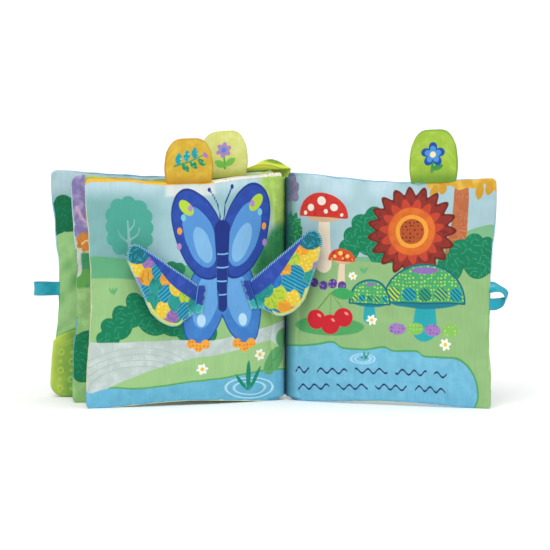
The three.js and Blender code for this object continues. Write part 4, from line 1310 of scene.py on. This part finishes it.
def build_tab(kind, leaf, share, height, bent=False):
    """A padded tab sewn into a leaf's upper seam.

    It stands on the rim, and its head is lower towards its sides by the fourth power of their distance. A
    bent one curls away from its front on an arc whose radius falls to its sides as a smooth hump, leans
    towards the spine, and hangs straight beyond the arc.
    """
    name = kind + "_tab_pad"
    across = rim_lines(-TAB_WIDTH / 2, TAB_WIDTH / 2, 1.0, TAB_RIM_LINES) / (TAB_WIDTH / 2)
    grid = PouchGrid(across, rim_lines(0, height, 1.0, TAB_RIM_LINES) / height)
    u, v = grid.a, grid.b
    centre = leaf.width * share
    edge = (1 - np.abs(u)) * TAB_WIDTH / 2
    head = np.minimum(v + 0.12, 1 - v) * height
    distance = np.minimum(edge, (1 - v) * height)
    half = mix(TAB_RIM / 2, TAB_THICKNESS / 2, rise(np.minimum(edge, head), TAB_WIDTH / 2))
    half = half * rounded(np.where(grid.inner, distance, 0), 1.5)
    half = half - 0.5 * pinches(u * TAB_WIDTH / 2 + 21, (1 - v) * height, TAB_WIDTH, 81, 8, 0.9)
    half = np.where(grid.inner, np.maximum(half, 0.25), 0)
    top = np.full(u.shape, float(PAGE_HEIGHT))
    reach, rim = stand(leaf, centre + u * TAB_WIDTH / 2, top)
    length = height * (1 - TAB_SHOULDER * u ** 4)
    raised, carried, angle = (length + TAB_TUCK) * v - TAB_TUCK, np.zeros(u.shape), np.zeros(u.shape)
    if bent:
        bend = math.radians(COVER_TAB_BEND)
        hump = bump((u - COVER_TAB_CREST) / (2 * COVER_TAB_SPREAD) + 0.5) ** COVER_TAB_POWER
        radius = mix(COVER_TAB_SIDE_RADIUS, COVER_TAB_RADIUS, hump)
        angle = bend * np.clip(v / TAB_ARC_SHARE, 0, 1)
        tail = np.maximum(v - TAB_ARC_SHARE, 0) / (1 - TAB_ARC_SHARE) * (length - radius * bend)
        raised = radius * np.sin(angle) + tail * math.cos(bend) - TAB_TUCK * (v == 0)
        carried = radius * (1 - np.cos(angle)) + tail * math.sin(bend)
    s = centre + u * (TAB_WIDTH / 2 + TAB_SWELL * np.sin(np.pi * v))
    s = s - COVER_TAB_LEAN * np.sin(np.minimum(angle, np.pi / 2))
    foot = leaf_point(leaf, stand(leaf, s, top)[0], rim, np.zeros(u.shape))
    sides = []
    for side in (1, -1):
        depth = side * half
        lifted = raised + depth * np.sin(angle)
        outward = depth * np.cos(angle) - carried
        sides.append(foot + UP * lifted[..., None] + leaf.front * outward[..., None])
    designs = [tab_print(kind, side * u * TAB_WIDTH / 2 * leaf.side, v * height, height) for side in (1, -1)]
    flat = (u * TAB_WIDTH / 2, v * height)
    piece = grid.build(name, *sides, *printed_faces(grid, name, designs), flat)
    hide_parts(f"{kind}_tab_front", f"{kind}_tab_rear")
    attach(piece, leaf.body)


build_tab("cover", front_cover, 0.12, 42, bent=True)
build_tab("yellow", leaf_two, 0.262, 39.5)
build_tab("orange", leaf_three, 0.49, 37.5)
build_tab("lime", back_cover, 0.7, 45)


# Teether


def teether_relief(s, z, top):
    """Fine ribs under the dome, and rings and dots by turns in columns, from 0 to 1."""
    outer = COVER_WIDTH - s
    down = top - z
    ribs = np.exp(-((np.mod(down - 2.5, 2.7) - 1.35) / 0.6) ** 2) * (down > 2.5) * (down < 13.3)
    total = 0.6 * ribs * np.clip((outer - 1) / 3, 0, 1)
    for k in range(6):
        for n in range(5):
            away = np.hypot(outer - 8 - 9.8 * k, z - 8 - 8.2 * n)
            radius, breadth = ((2.3, 0.75), (0, 1.4))[(n + k) % 2]
            total = np.maximum(total, np.exp(-((away - radius) / breadth) ** 2) * (down > 10))
    return total


def build_teether():
    """A domed rubber pad: the two faces swell from a round rim, with the relief added on both."""
    start = front_cover.notch_start + LAYER_GAP
    end = COVER_WIDTH + TEETHER_OVERHANG
    grid = PouchGrid(rim_lines(start, end, 0.75), rim_lines(0, 50, 0.75) / 50)
    s, share = grid.a, grid.b
    inside = np.minimum(s, COVER_WIDTH)
    held = stand(front_cover, inside, np.full(s.shape, float(TEETHER_SHOULDER)))[1]
    top = held + np.where(s > COVER_WIDTH, dome_rise(s) - dome_rise(COVER_WIDTH), 0) + 1.2
    foot = corner_lift(end - s, TEETHER_CORNER)
    z = mix(foot, top, share)
    distance = np.minimum.reduce([s - start, end - s, z - foot, top - z])
    half = TEETHER_HALF * rounded(np.where(grid.inner, distance, 0), TEETHER_ROUND)
    relief = teether_relief(s, z, top) * np.clip((distance - 1.5) / 2, 0, 1)
    reach = drawn_in(front_cover, s, z)
    front = leaf_point(front_cover, reach, z, half + 0.8 * relief)
    rear = leaf_point(front_cover, reach, z, -half - 0.8 * relief)
    # The share of the way in from the outer edge, which sets the painted highlight at the rim.
    inward = np.clip((end - s) / 20, 0, 1)
    fields = {"relief": grid.both(relief), "inward": grid.both(inward)}
    rubber = moulded_silicone("green_silicone", "#C3D64C", "#6FA238")
    piece = grid.build("teether_pad", front, rear, [rubber], fields)
    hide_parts("teether")
    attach(piece, "front_cover")


build_teether()


# Ribbon loops


def ribbon_piece(name, node_name, body, points, across, normal, width, material):
    """A flat ribbon along a path: a thin closed strip with slightly rounded sides."""
    shares = rim_lines(-width / 2, width / 2, 0.8, (0, 0.12, 0.4))
    run = run_along(points)
    grid = PouchGrid(np.arange(len(points)), shares)
    index = grid.a.astype(int)
    base = points[index] + across[index] * grid.b[..., None]
    edge = width / 2 - np.abs(grid.b)
    ripple = 0.18 * np.sin(run[index] * 0.55) * np.cos(grid.b * 0.6)
    half = RIBBON_HALF * rounded(np.where(grid.inner, edge, 0), 0.4)
    front = base + normal[index] * (ripple + half)[..., None]
    rear = base + normal[index] * (ripple - half)[..., None]
    piece = grid.build(name, front, rear, [material], {"edge": grid.both(edge)}, (run[index], grid.b))
    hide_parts(node_name)
    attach(piece, body)


def edge_point(leaf, height):
    """The point on a cover's free edge at a height of its pattern."""
    s, z = np.array([float(leaf.width)]), np.array([float(height)])
    reach, up = stand(leaf, s, z)
    return leaf_point(leaf, reach, up, np.zeros(1))[0]


def left_ribbon():
    """The loop that lies level: a teardrop whose two ends meet at the seam."""
    size = LEFT_RIBBON
    share = np.linspace(0, 1, 90)
    turn = 2 * np.pi * share
    out = LAYER_GAP + size["reach"] * (1 - np.cos(turn)) / 2 - 1.6 * (np.abs(share - 0.5) > 0.47)
    side = 0.6 * np.cos(turn / 2) + size["swell"] * np.sin(turn) * (1 - np.cos(turn)) / 2
    points = edge_point(front_cover, RIBBON_HEIGHT) + front_cover.along * out[:, None]
    points = points + front_cover.front * side[:, None]
    direction = unit(np.gradient(points, axis=0))
    across = np.repeat(UP[None], len(points), axis=0)
    return points, across, unit(np.cross(direction, across)), size["width"]


def right_ribbon():
    """The loop that stands upright and turns over on its way, so both its faces show."""
    size = RIGHT_RIBBON
    share = np.linspace(0, 1, 90)
    turn = np.pi * share
    along, front = back_cover.along, back_cover.front
    out = size["gap"] + size["reach"] * np.sin(turn) - 2.2 * (np.abs(share - 0.5) > 0.47)
    up = size["rise"] * np.cos(turn)
    points = edge_point(back_cover, RIBBON_HEIGHT) + along * out[:, None] + UP * up[:, None]
    tilt = np.pi / 2 - math.radians(size["turn"]) * np.sin(np.pi * share ** size["skew"])
    across = front * np.cos(tilt)[:, None] - UP * np.sin(tilt)[:, None]
    direction = along * (size["reach"] * np.cos(turn))[:, None] - UP * (size["rise"] * np.sin(turn))[:, None]
    return points, across, unit(np.cross(direction, across)), size["width"]


satin = woven_satin("blue_satin", "#12A2B8", "#0F90A8")
for loop, body, shape in (("left_ribbon_loop", "front_cover", left_ribbon()),
                          ("right_ribbon_loop", "back_cover", right_ribbon())):
    ribbon_piece(loop + "_satin", loop, body, *shape, satin)


# Wings


def wing_flat(count_out, count_up):
    """The flat wing as a grid: a Coons patch between its fold, its lower and upper edges and its tip."""
    half = WING_ROOT / 2
    length, drop, tip = WING_LENGTH, WING_DROP, WING_TIP
    lower = arc_points([(0, -half), (0.09 * length, -0.68 * drop), (0.2 * length, -0.96 * drop),
                        (0.32 * length, -drop), (0.46 * length, -0.87 * drop), (0.58 * length, -0.62 * drop)],
                       count_out)
    upper = arc_points([(0, half), (0.45 * length, mix(half, tip, 0.5)),
                        (0.86 * length, mix(half, tip, 0.96))], count_out)
    outer = arc_points([lower[-1], (0.72 * length, mix(-0.62 * drop, 0.33 * tip, 0.5)),
                        (0.86 * length, 0.33 * tip), (0.97 * length, 0.66 * tip), (0.97 * length, 0.86 * tip),
                        (0.93 * length, 0.96 * tip),
                        upper[-1]], count_up)
    fold = np.stack([np.zeros(count_up), np.linspace(-half, half, count_up)], axis=-1)
    u = np.linspace(0, 1, count_out)[:, None, None]
    v = np.linspace(0, 1, count_up)[None, :, None]
    ruled = lower[:, None] * (1 - v) + upper[:, None] * v + fold[None] * (1 - u) + outer[None] * u
    corners = (lower[0] * (1 - u) * (1 - v) + lower[-1] * u * (1 - v) + upper[0] * (1 - u) * v
               + upper[-1] * u * v)
    return ruled - corners, [fold, lower, outer, upper]


# Colour, texture and the texture's colour of the printed scales
SCALES = (("#E79A2E", "strokes", "#F3C24A"), ("#BBD040", "leaves", "#8FB838"),
          ("#2A7CC4", "strokes", "#1B55A6"), ("#9C74B6", "leaves", "#7F58A4"),
          ("#2A9C92", "strokes", "#12707A"), ("#E6C53C", "dots", "#F0DC6E"),
          ("#D9D65A", "cloudy", "#B9C84A"), ("#38A5BC", "stripes", "#17709E"),
          ("#E2A838", "strokes", "#C97A2C"))
SCALE_RADIUS = 8.2


def wing_print(a, b, order, rim):
    """A wing's design: overlapping round scales in many colours under a blue band and a teal tip.

    Scales stand in rows across the fold direction, each row shifted by half a scale. A scale shows where
    no scale of a row nearer to the fold covers it.
    """
    art = Print(a, b, "#D9D648")
    shown = {}
    away = covered = np.full(a.shape, -float(FAR))
    for row in range(8):
        line = []
        for column in range(7):
            centre = (1 + 10.4 * row, -31 + 13.6 * column + (6.8 if row % 2 else 0))
            shape = disc(a, b, *centre, SCALE_RADIUS)
            scale = (row * order + column * 2 + (row * column) % 3) % len(SCALES)
            shown[scale] = np.maximum(shown.get(scale, away), np.minimum(shape, -covered))
            line.append(shape)
        covered = np.maximum(covered, join(*line))
    for scale, field in sorted(shown.items()):
        colour, texture, second = SCALES[scale]
        art.fill(colour, field, soft=0.3, **{texture: second})
    art.fill("#D9D450", np.minimum(3 - rim, np.minimum(a - 12, -6 - b)), soft=0.3, cloudy="#E6E070")
    art.fill("#2AA8A0", disc(a, b, 0, -13, 7), strokes="#8FD6CC")
    art.fill("#176C7C", disc(a, b, 66, 39, 12.5), soft=0.5, leaves="#2A98A0")
    band = b - shore(a, [(-8, -4), (0, -1.5), (15, 4.5), (29, 12.3), (45, 26), (58, 37.5), (80, 56)])
    art.fill("#2E4BA6", band, soft=0.4, cloudy="#3857B8")
    return art


def navy_print(a, b):
    """The back of a wing: navy with a few pale dots."""
    art = Print(a, b, "#27429A")
    art.fill("#27429A", np.full(a.shape, 20.0), dots="#4F74C8")
    return art


def wing_frame(size):
    """A wing's frame: where its fold is, and the directions along the wing, up the fold and out of it."""
    leaf = leaf_three
    place = np.array([size["place"], size["place"] + SEAM_LINE], float)
    height = np.full(2, float(size["height"]))
    reach, up = stand(leaf, place, height)
    fold = leaf_point(leaf, reach, up, half_thickness(leaf, place, height))
    tangent = unit(fold[1] - fold[0])
    normal = unit(np.cross(UP, tangent))
    lean, lift = math.radians(size["lean"]), math.radians(size["raise"])
    away = tangent * size["outward"]
    axis = UP * math.cos(lean) - away * math.sin(lean)
    out = away * math.cos(lean) + UP * math.sin(lean)
    along = out * math.cos(lift) + normal * math.sin(lift)
    face = normal * math.cos(lift) - out * math.sin(lift)
    return fold[0] + normal * LAYER_GAP, axis, along, face


def rim_distance(flat, sides):
    """The least distance of each flat point to the wing's outline."""
    outline = np.concatenate(sides)
    points = flat.reshape(-1, 2)
    best = np.full(len(points), 1e3)
    for k in range(0, len(outline), 40):
        away = np.linalg.norm(points[:, None] - outline[None, k:k + 40], axis=-1).min(axis=1)
        best = np.minimum(best, away)
    return best.reshape(flat.shape[:2])


def stitch_row(name, body, places, directions, normals, length, half):
    """Short stitches of thread: each is a small ellipsoid of six sides along its direction."""
    angles = np.linspace(0, 2 * np.pi, 6, endpoint=False)
    along = np.array([-0.5, -0.36, 0, 0.36, 0.5]) * length
    girth = np.array([0.05, 0.72, 1, 0.72, 0.05]) * half
    third = np.cross(directions, normals)
    ring = np.cos(angles)[:, None, None] * normals[None] + np.sin(angles)[:, None, None] * third[None]
    centre = places[None] + directions[None] * along[:, None, None]
    points = centre[:, None] + ring[None] * girth[:, None, None, None]
    index = np.arange(points[..., 0].size).reshape(points.shape[:3])
    lower, upper = index[:-1], index[1:]
    quads = np.stack([lower, np.roll(lower, -1, axis=1), np.roll(upper, -1, axis=1), upper], axis=-1)
    faces = quads.reshape(-1, 4).tolist() + index[0, ::-1].T.tolist() + index[-1].T.tolist()
    piece = mesh_piece(name, points.reshape(-1, 3), faces, [pale_thread])
    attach(piece, body)
    return piece


pale_thread = sewing_thread("pale_blue_thread", "#A9DDEB", "#7CC0D6")


def wing_depth(flat, distance):
    """How far the wing's middle surface curls out of its flat plane, and its half thickness."""
    a, b = flat[..., 0], flat[..., 1]
    curl = 2.2 * np.sin(np.pi * a / WING_LENGTH) + 1.0 * np.sin(a / 9 + b / 14) * np.clip(a / 30, 0, 1)
    half = mix(0.5, 1.55, rise(distance, 14)) * rounded(distance, 0.9) * np.clip(a / 5, 0.35, 1)
    quilted = 0.22 * np.sin(a * 0.42 + 1) * np.sin(b * 0.5)
    return curl, half + quilted * rise(distance, 6) * np.clip(a / 5 - 1, 0, 1)


def build_wing(name, size, order):
    """A wing: a thin sewn pouch on a flat Coons patch, with thread wrapped over its edge."""
    flat, sides = wing_flat(WING_COLUMNS, WING_ROWS)
    a, b = flat[..., 0], flat[..., 1]
    grid = PouchGrid(np.linspace(0, 1, WING_COLUMNS), np.linspace(0, 1, WING_ROWS))
    distance = np.where(grid.inner, rim_distance(flat, sides), 0)
    curl, half = wing_depth(flat, distance)
    origin, axis, along, face = wing_frame(size)

    def place(spots, depth):
        """Points over flat spots, out from the middle surface, which rises from the fold."""
        middle = WING_THICKNESS / 2 * np.clip(spots[..., 0] / WING_LIFT, 0.05, 1)
        return (origin + along * (spots[..., :1] + WING_GAP) + axis * spots[..., 1:]
                + face * (middle + depth)[..., None])

    designs = [wing_print(a, b, order, distance), navy_print(a, b)]
    piece = grid.build(name + "_cloth", place(flat, curl + half), place(flat, curl - half),
                       *printed_faces(grid, name, designs), (a, b))
    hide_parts(f"{name}_rear_cloth", f"{name}_crinkle_film", f"{name}_front_cloth")
    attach(piece, name)
    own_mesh(piece)

    rim, rim_curl = (np.concatenate([field[:, 0], field[-1, 1:], field[-2:0:-1, -1]])
                     for field in (flat, curl))
    run = run_along(rim)
    count = int(run[-1] / THREAD_SPACING)
    even = np.linspace(1, run[-1] - 1, count)
    spots = np.stack([np.interp(even, run, rim[:, k]) for k in (0, 1)], axis=-1)
    ahead = unit(np.gradient(spots, axis=0))
    centre = place(spots, np.interp(even, run, rim_curl))
    inner = axis * ahead[:, :1] - along * ahead[:, 1:]
    onward = along * ahead[:, :1] + axis * ahead[:, 1:]
    for side, word in ((1, "front"), (-1, "rear")):
        thread = stitch_row(f"{name}_edge_thread_{word}", name, centre + inner * 0.75 + side * face * 0.62,
                            unit(inner + 0.7 * onward + 0.25 * side * face),
                            np.repeat(face[None] * side, count, 0), 2.6, 0.42)
        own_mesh(thread)


def build_hem(name, size):
    """The strip that holds a wing: it lies on the page beside the fold, sewn down along its middle."""
    leaf = leaf_three
    lean = math.tan(math.radians(size["lean"]))
    across = rim_lines(0, HEM_WIDTH, 0.7, (0, 0.15, 0.5, 1.0))
    rows = rim_lines(-WING_ROOT / 2, WING_ROOT / 2, 0.8, (0, 0.15, 0.5, 1.0))
    grid = PouchGrid(across, rows)
    z = size["height"] + grid.b
    s = size["place"] - size["outward"] * (lean * grid.b + WING_GAP + grid.a)
    reach, up = stand(leaf, s, z)
    base = half_thickness(leaf, s, z)
    distance = np.where(grid.inner, np.minimum(np.minimum(grid.a, HEM_WIDTH - grid.a),
                                               WING_ROOT / 2 - np.abs(grid.b)), 0)
    swell = HEM_THICKNESS * rounded(distance, 0.9) + 0.18 * np.sin(grid.b * 0.9)
    swell = swell - 0.5 * np.exp(-((grid.a - 3.6) / 0.6) ** 2)
    front = leaf_point(leaf, reach, up, base + LAYER_GAP + np.where(grid.inner, swell, 0))
    rear = leaf_point(leaf, reach, up, base - 1.2)
    art = Print(grid.a, grid.b, "#2B459C")
    art.fill("#35A6A6", -4.5 - grid.b + 0.8 * np.sin(grid.a), strokes="#8FD6CC")
    cloth = printed_polyester(name + "_print", art, name)
    fields = {f"{name}00": grid.both(art.layers[0]["field"])}
    piece = grid.build(name + "_cloth", front, rear, [cloth], fields)
    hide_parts(name)
    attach(piece, "leaf_3")
    b = np.linspace(-HEM_STITCH_REACH, HEM_STITCH_REACH, HEM_STITCHES)
    z = size["height"] + b
    s = size["place"] - size["outward"] * (lean * b + WING_GAP + (HEM_WIDTH - 0.9))
    reach, up = stand(leaf, s, z)
    spots = leaf_point(leaf, reach, up, half_thickness(leaf, s, z) + LAYER_GAP + HEM_THICKNESS - 0.25)
    direction = unit(UP * 0.8 + leaf.along * size["outward"])
    stitch_row(name + "_thread", "leaf_3", spots, np.repeat(direction[None], HEM_STITCHES, 0),
               np.repeat(leaf.front[None], HEM_STITCHES, 0), 2.5, 0.36)


build_wing("left_wing", LEFT_WING, 4)
build_wing("right_wing", RIGHT_WING, 7)
build_hem("left_wing_hem", LEFT_WING)
build_hem("right_wing_hem", RIGHT_WING)


# Spine webs


def crease_plan(fullness):
    """The crease cloth's plan where the pages have this share of their greatest swelling."""
    plan = []
    places = np.array(CREASE_ROLL)
    swell = (CROWN_HALF - RIM_HALF) * rise(places[:, 0], SPINE_REACH)
    depth = places[:, 1] * (RIM_HALF + swell * fullness) / (RIM_HALF + swell)
    for leaf, order in ((leaf_three, 1), (back_cover, -1)):
        points = leaf_point(leaf, places[:, 0], np.zeros(len(places)), depth)
        plan.append(points[::order, :2])
    middle = (plan[0][-1] + plan[1][0]) / 2 + np.array([0, CREASE_DEPTH])
    path = arc_points(np.concatenate([plan[0], middle[None], plan[1]]), 91)
    return np.concatenate([path, np.zeros((len(path), 1))], axis=1)


def build_crease():
    """The printed cloth in the crease of the open spread.

    In plan it leaves the left page's front, rolls over the rim and down to the spine, and comes back up
    over the right page's rim, as a smooth curve through given points. The curve is flatter near the
    pages' upper and lower rims, and its ends rise and fall with its depth.
    """
    path = crease_plan(1)
    run = run_along(path)
    across = unit(np.cross(np.gradient(path, run, axis=0), UP))
    shares = rim_lines(0, 1, 0.012, (0, 0.004, 0.01))
    grid = PouchGrid(np.arange(len(path)), shares)
    index = grid.a.astype(int)
    deep = np.clip(1 - np.abs(run / run[-1] - 0.5) / 0.5, 0, 1)[index] ** 0.7
    z = mix(mix(CREASE_FOOT, CREASE_DEEP_FOOT, deep), PAGE_HEIGHT - mix(CREASE_HEAD, WEB_HEAD, deep), grid.b)
    fullness = rise(z, EDGE_REACH) * rise(PAGE_HEIGHT - z, EDGE_REACH)
    base = mix(crease_plan(0)[index], path[index], fullness[..., None]) + UP * z[..., None]
    taper = np.clip(np.minimum(run, run[-1] - run) / CREASE_TAPER, 0.1, 1)[index]
    half = np.where(grid.inner, WEB_HALF * taper, 0)
    front = base + across[index] * half[..., None]
    rear = base - across[index] * half[..., None]
    inwards = CREASE_ROLL[0][0] - np.minimum(run, run[-1] - run)[index]
    # The right half takes the right page's design, which includes its painted shade towards the crease.
    designs = {"left": left_page(PAGE_WIDTH - inwards, z), "right": right_page(inwards, z)}
    materials = [printed_polyester(f"crease_{side}_print", art, f"crease_{side}")
                 for side, art in designs.items()] + [spine_cloth]
    fields = {f"crease_{side}{n:02d}": grid.both(np.broadcast_to(layer["field"], grid.shape))
              for side, art in designs.items() for n, layer in enumerate(art.layers)}
    name = "web_leaf_3_to_back_cover"
    piece = grid.build(name + "_cloth", front, rear, materials, fields, (run[index], z))
    count = len(piece.data.polygons)
    corners = np.empty(count * 4, dtype=np.int64)
    piece.data.polygons.foreach_get("vertices", corners)
    place = grid.both(run[index])[corners.reshape(-1, 4)].mean(axis=1)
    slots = (place > run[-1] / 2).astype(np.int32)
    slots[len(grid.front_faces):] = 2
    piece.data.polygons.foreach_set("material_index", slots)
    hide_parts(name)
    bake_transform(piece)


def build_web(name, rear_leaf, near_leaf, seats, bulge_to, bulge):
    """A strip of cloth from one leaf's spine rim to the next, with its edges sewn into both rims.

    The run between the rims is straight with a half-sine bulge, and the wrinkles fade to its ends.
    """
    ends, tucks = [], []
    for leaf, seat in zip((rear_leaf, near_leaf), seats):
        depth = np.full(2, seat)
        end, tuck = leaf_point(leaf, np.array([-(LAYER_GAP + WEB_HALF), WEB_TUCK]), np.zeros(2), depth)
        ends.append(end)
        tucks.append(tuck)
    chord = ends[1] - ends[0]
    share = np.linspace(0, 1, 25)[:, None]
    arc = ends[0] + chord * share + bulge_to * (bulge * np.sin(np.pi * share))
    hidden = np.linspace(1, 0, 5, endpoint=False)[:, None]
    path = np.concatenate([mix(ends[0], tucks[0], hidden), arc, mix(ends[1], tucks[1], hidden)[::-1]])
    run = run_along(path)
    across = unit(np.cross(np.gradient(path, run, axis=0), UP))
    grid = PouchGrid(np.arange(len(path)), np.linspace(WEB_FOOT, PAGE_HEIGHT - WEB_HEAD, 90))
    index, z = grid.a.astype(int), grid.b
    open_share = np.clip((run[index] - WEB_TUCK) / (run[-1] - 2 * WEB_TUCK), 0, 1)
    wrinkle = 0.3 * np.sin(z / 4.2 + 3 * open_share) * np.sin(np.pi * open_share)
    half = np.where(grid.inner, WEB_HALF, 0)
    base = path[index] + UP * z[..., None]
    front = base + across[index] * (wrinkle + half)[..., None]
    rear = base + across[index] * (wrinkle - half)[..., None]
    piece = grid.build(name + "_cloth", front, rear, [spine_cloth], None, (run[index], z))
    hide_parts(name)
    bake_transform(piece)


spine_cloth = plain_polyester("blue_spine_cloth", "#7CC4E4", "#93D0EA")
SPINE_SIDE = np.array([1.0, 0.0, 0.0])
build_web("web_cover_to_leaf_2", front_cover, leaf_two, (WEB_HALF, -WEB_HALF), SPINE_SIDE, WEB_SWELL)
build_web("web_leaf_2_to_leaf_3", leaf_two, leaf_three, (WEB_HALF, -WEB_HALF), SPINE_SIDE, INNER_WEB_SWELL)
build_crease()


# Floor, light and camera

FLOOR_REACH = 8000

# Name, turn and tilt in degrees, strength, and the width of the light in degrees
LAMPS = (("key", -12, 50, 1.15, 30), ("fill", 30, 22, 0.25, 90), ("top", 0, 82, 0.9, 60))

# In metres, but for the lens in millimetres and the elevation in degrees
AIM_LEFT = 0.00895
AIM_HEIGHT = 0.1134
CAMERA_DISTANCE = 5.0
CAMERA_ELEVATION = 6
LENS_LENGTH = 365.7


def studio():
    """A pale floor that reads as white to the camera, soft lights and a long lens a little above."""
    material, _, shader = blank_material("floor_paper", 0.9, 0.1)
    shader.inputs["Base Color"].default_value = linear("#FFFFFF")
    corners = FLOOR_REACH * np.array([(-1, -1, 0), (1, -1, 0), (1, 1, 0), (-1, 1, 0)])
    mesh_piece("floor", corners, [[0, 1, 2, 3]], [material])

    world = bpy.data.worlds.new("studio")
    bpy.context.scene.world = world
    world.use_nodes = True
    world.node_tree.nodes["Background"].inputs[0].default_value = (1, 1, 1, 1)
    world.node_tree.nodes["Background"].inputs[1].default_value = 0.5

    for name, turn, tilt, power, spread in LAMPS:
        light = bpy.data.lights.new(name, "SUN")
        light.energy = power
        light.angle = math.radians(spread)
        lamp = add_object(name, light)
        across, up = math.radians(turn), math.radians(tilt)
        towards = Vector((math.sin(across) * math.cos(up), -math.cos(across) * math.cos(up), math.sin(up)))
        lamp.rotation_euler = towards.to_track_quat("Z", "Y").to_euler()

    crease = hinges["back_cover_turn"] * MM
    aim = Vector((crease[0] - AIM_LEFT, crease[1], AIM_HEIGHT))
    elevation = math.radians(CAMERA_ELEVATION)
    lens = bpy.data.cameras.new("camera")
    lens.sensor_width = 36
    lens.lens = LENS_LENGTH
    lens.clip_end = 50
    camera = add_object("camera", lens)
    camera.location = aim + Vector((0, -math.cos(elevation), math.sin(elevation))) * CAMERA_DISTANCE
    camera.rotation_euler = (aim - camera.location).to_track_quat("-Z", "Y").to_euler()
    bpy.context.scene.camera = camera
    bpy.context.scene.view_settings.view_transform = "Standard"


studio()
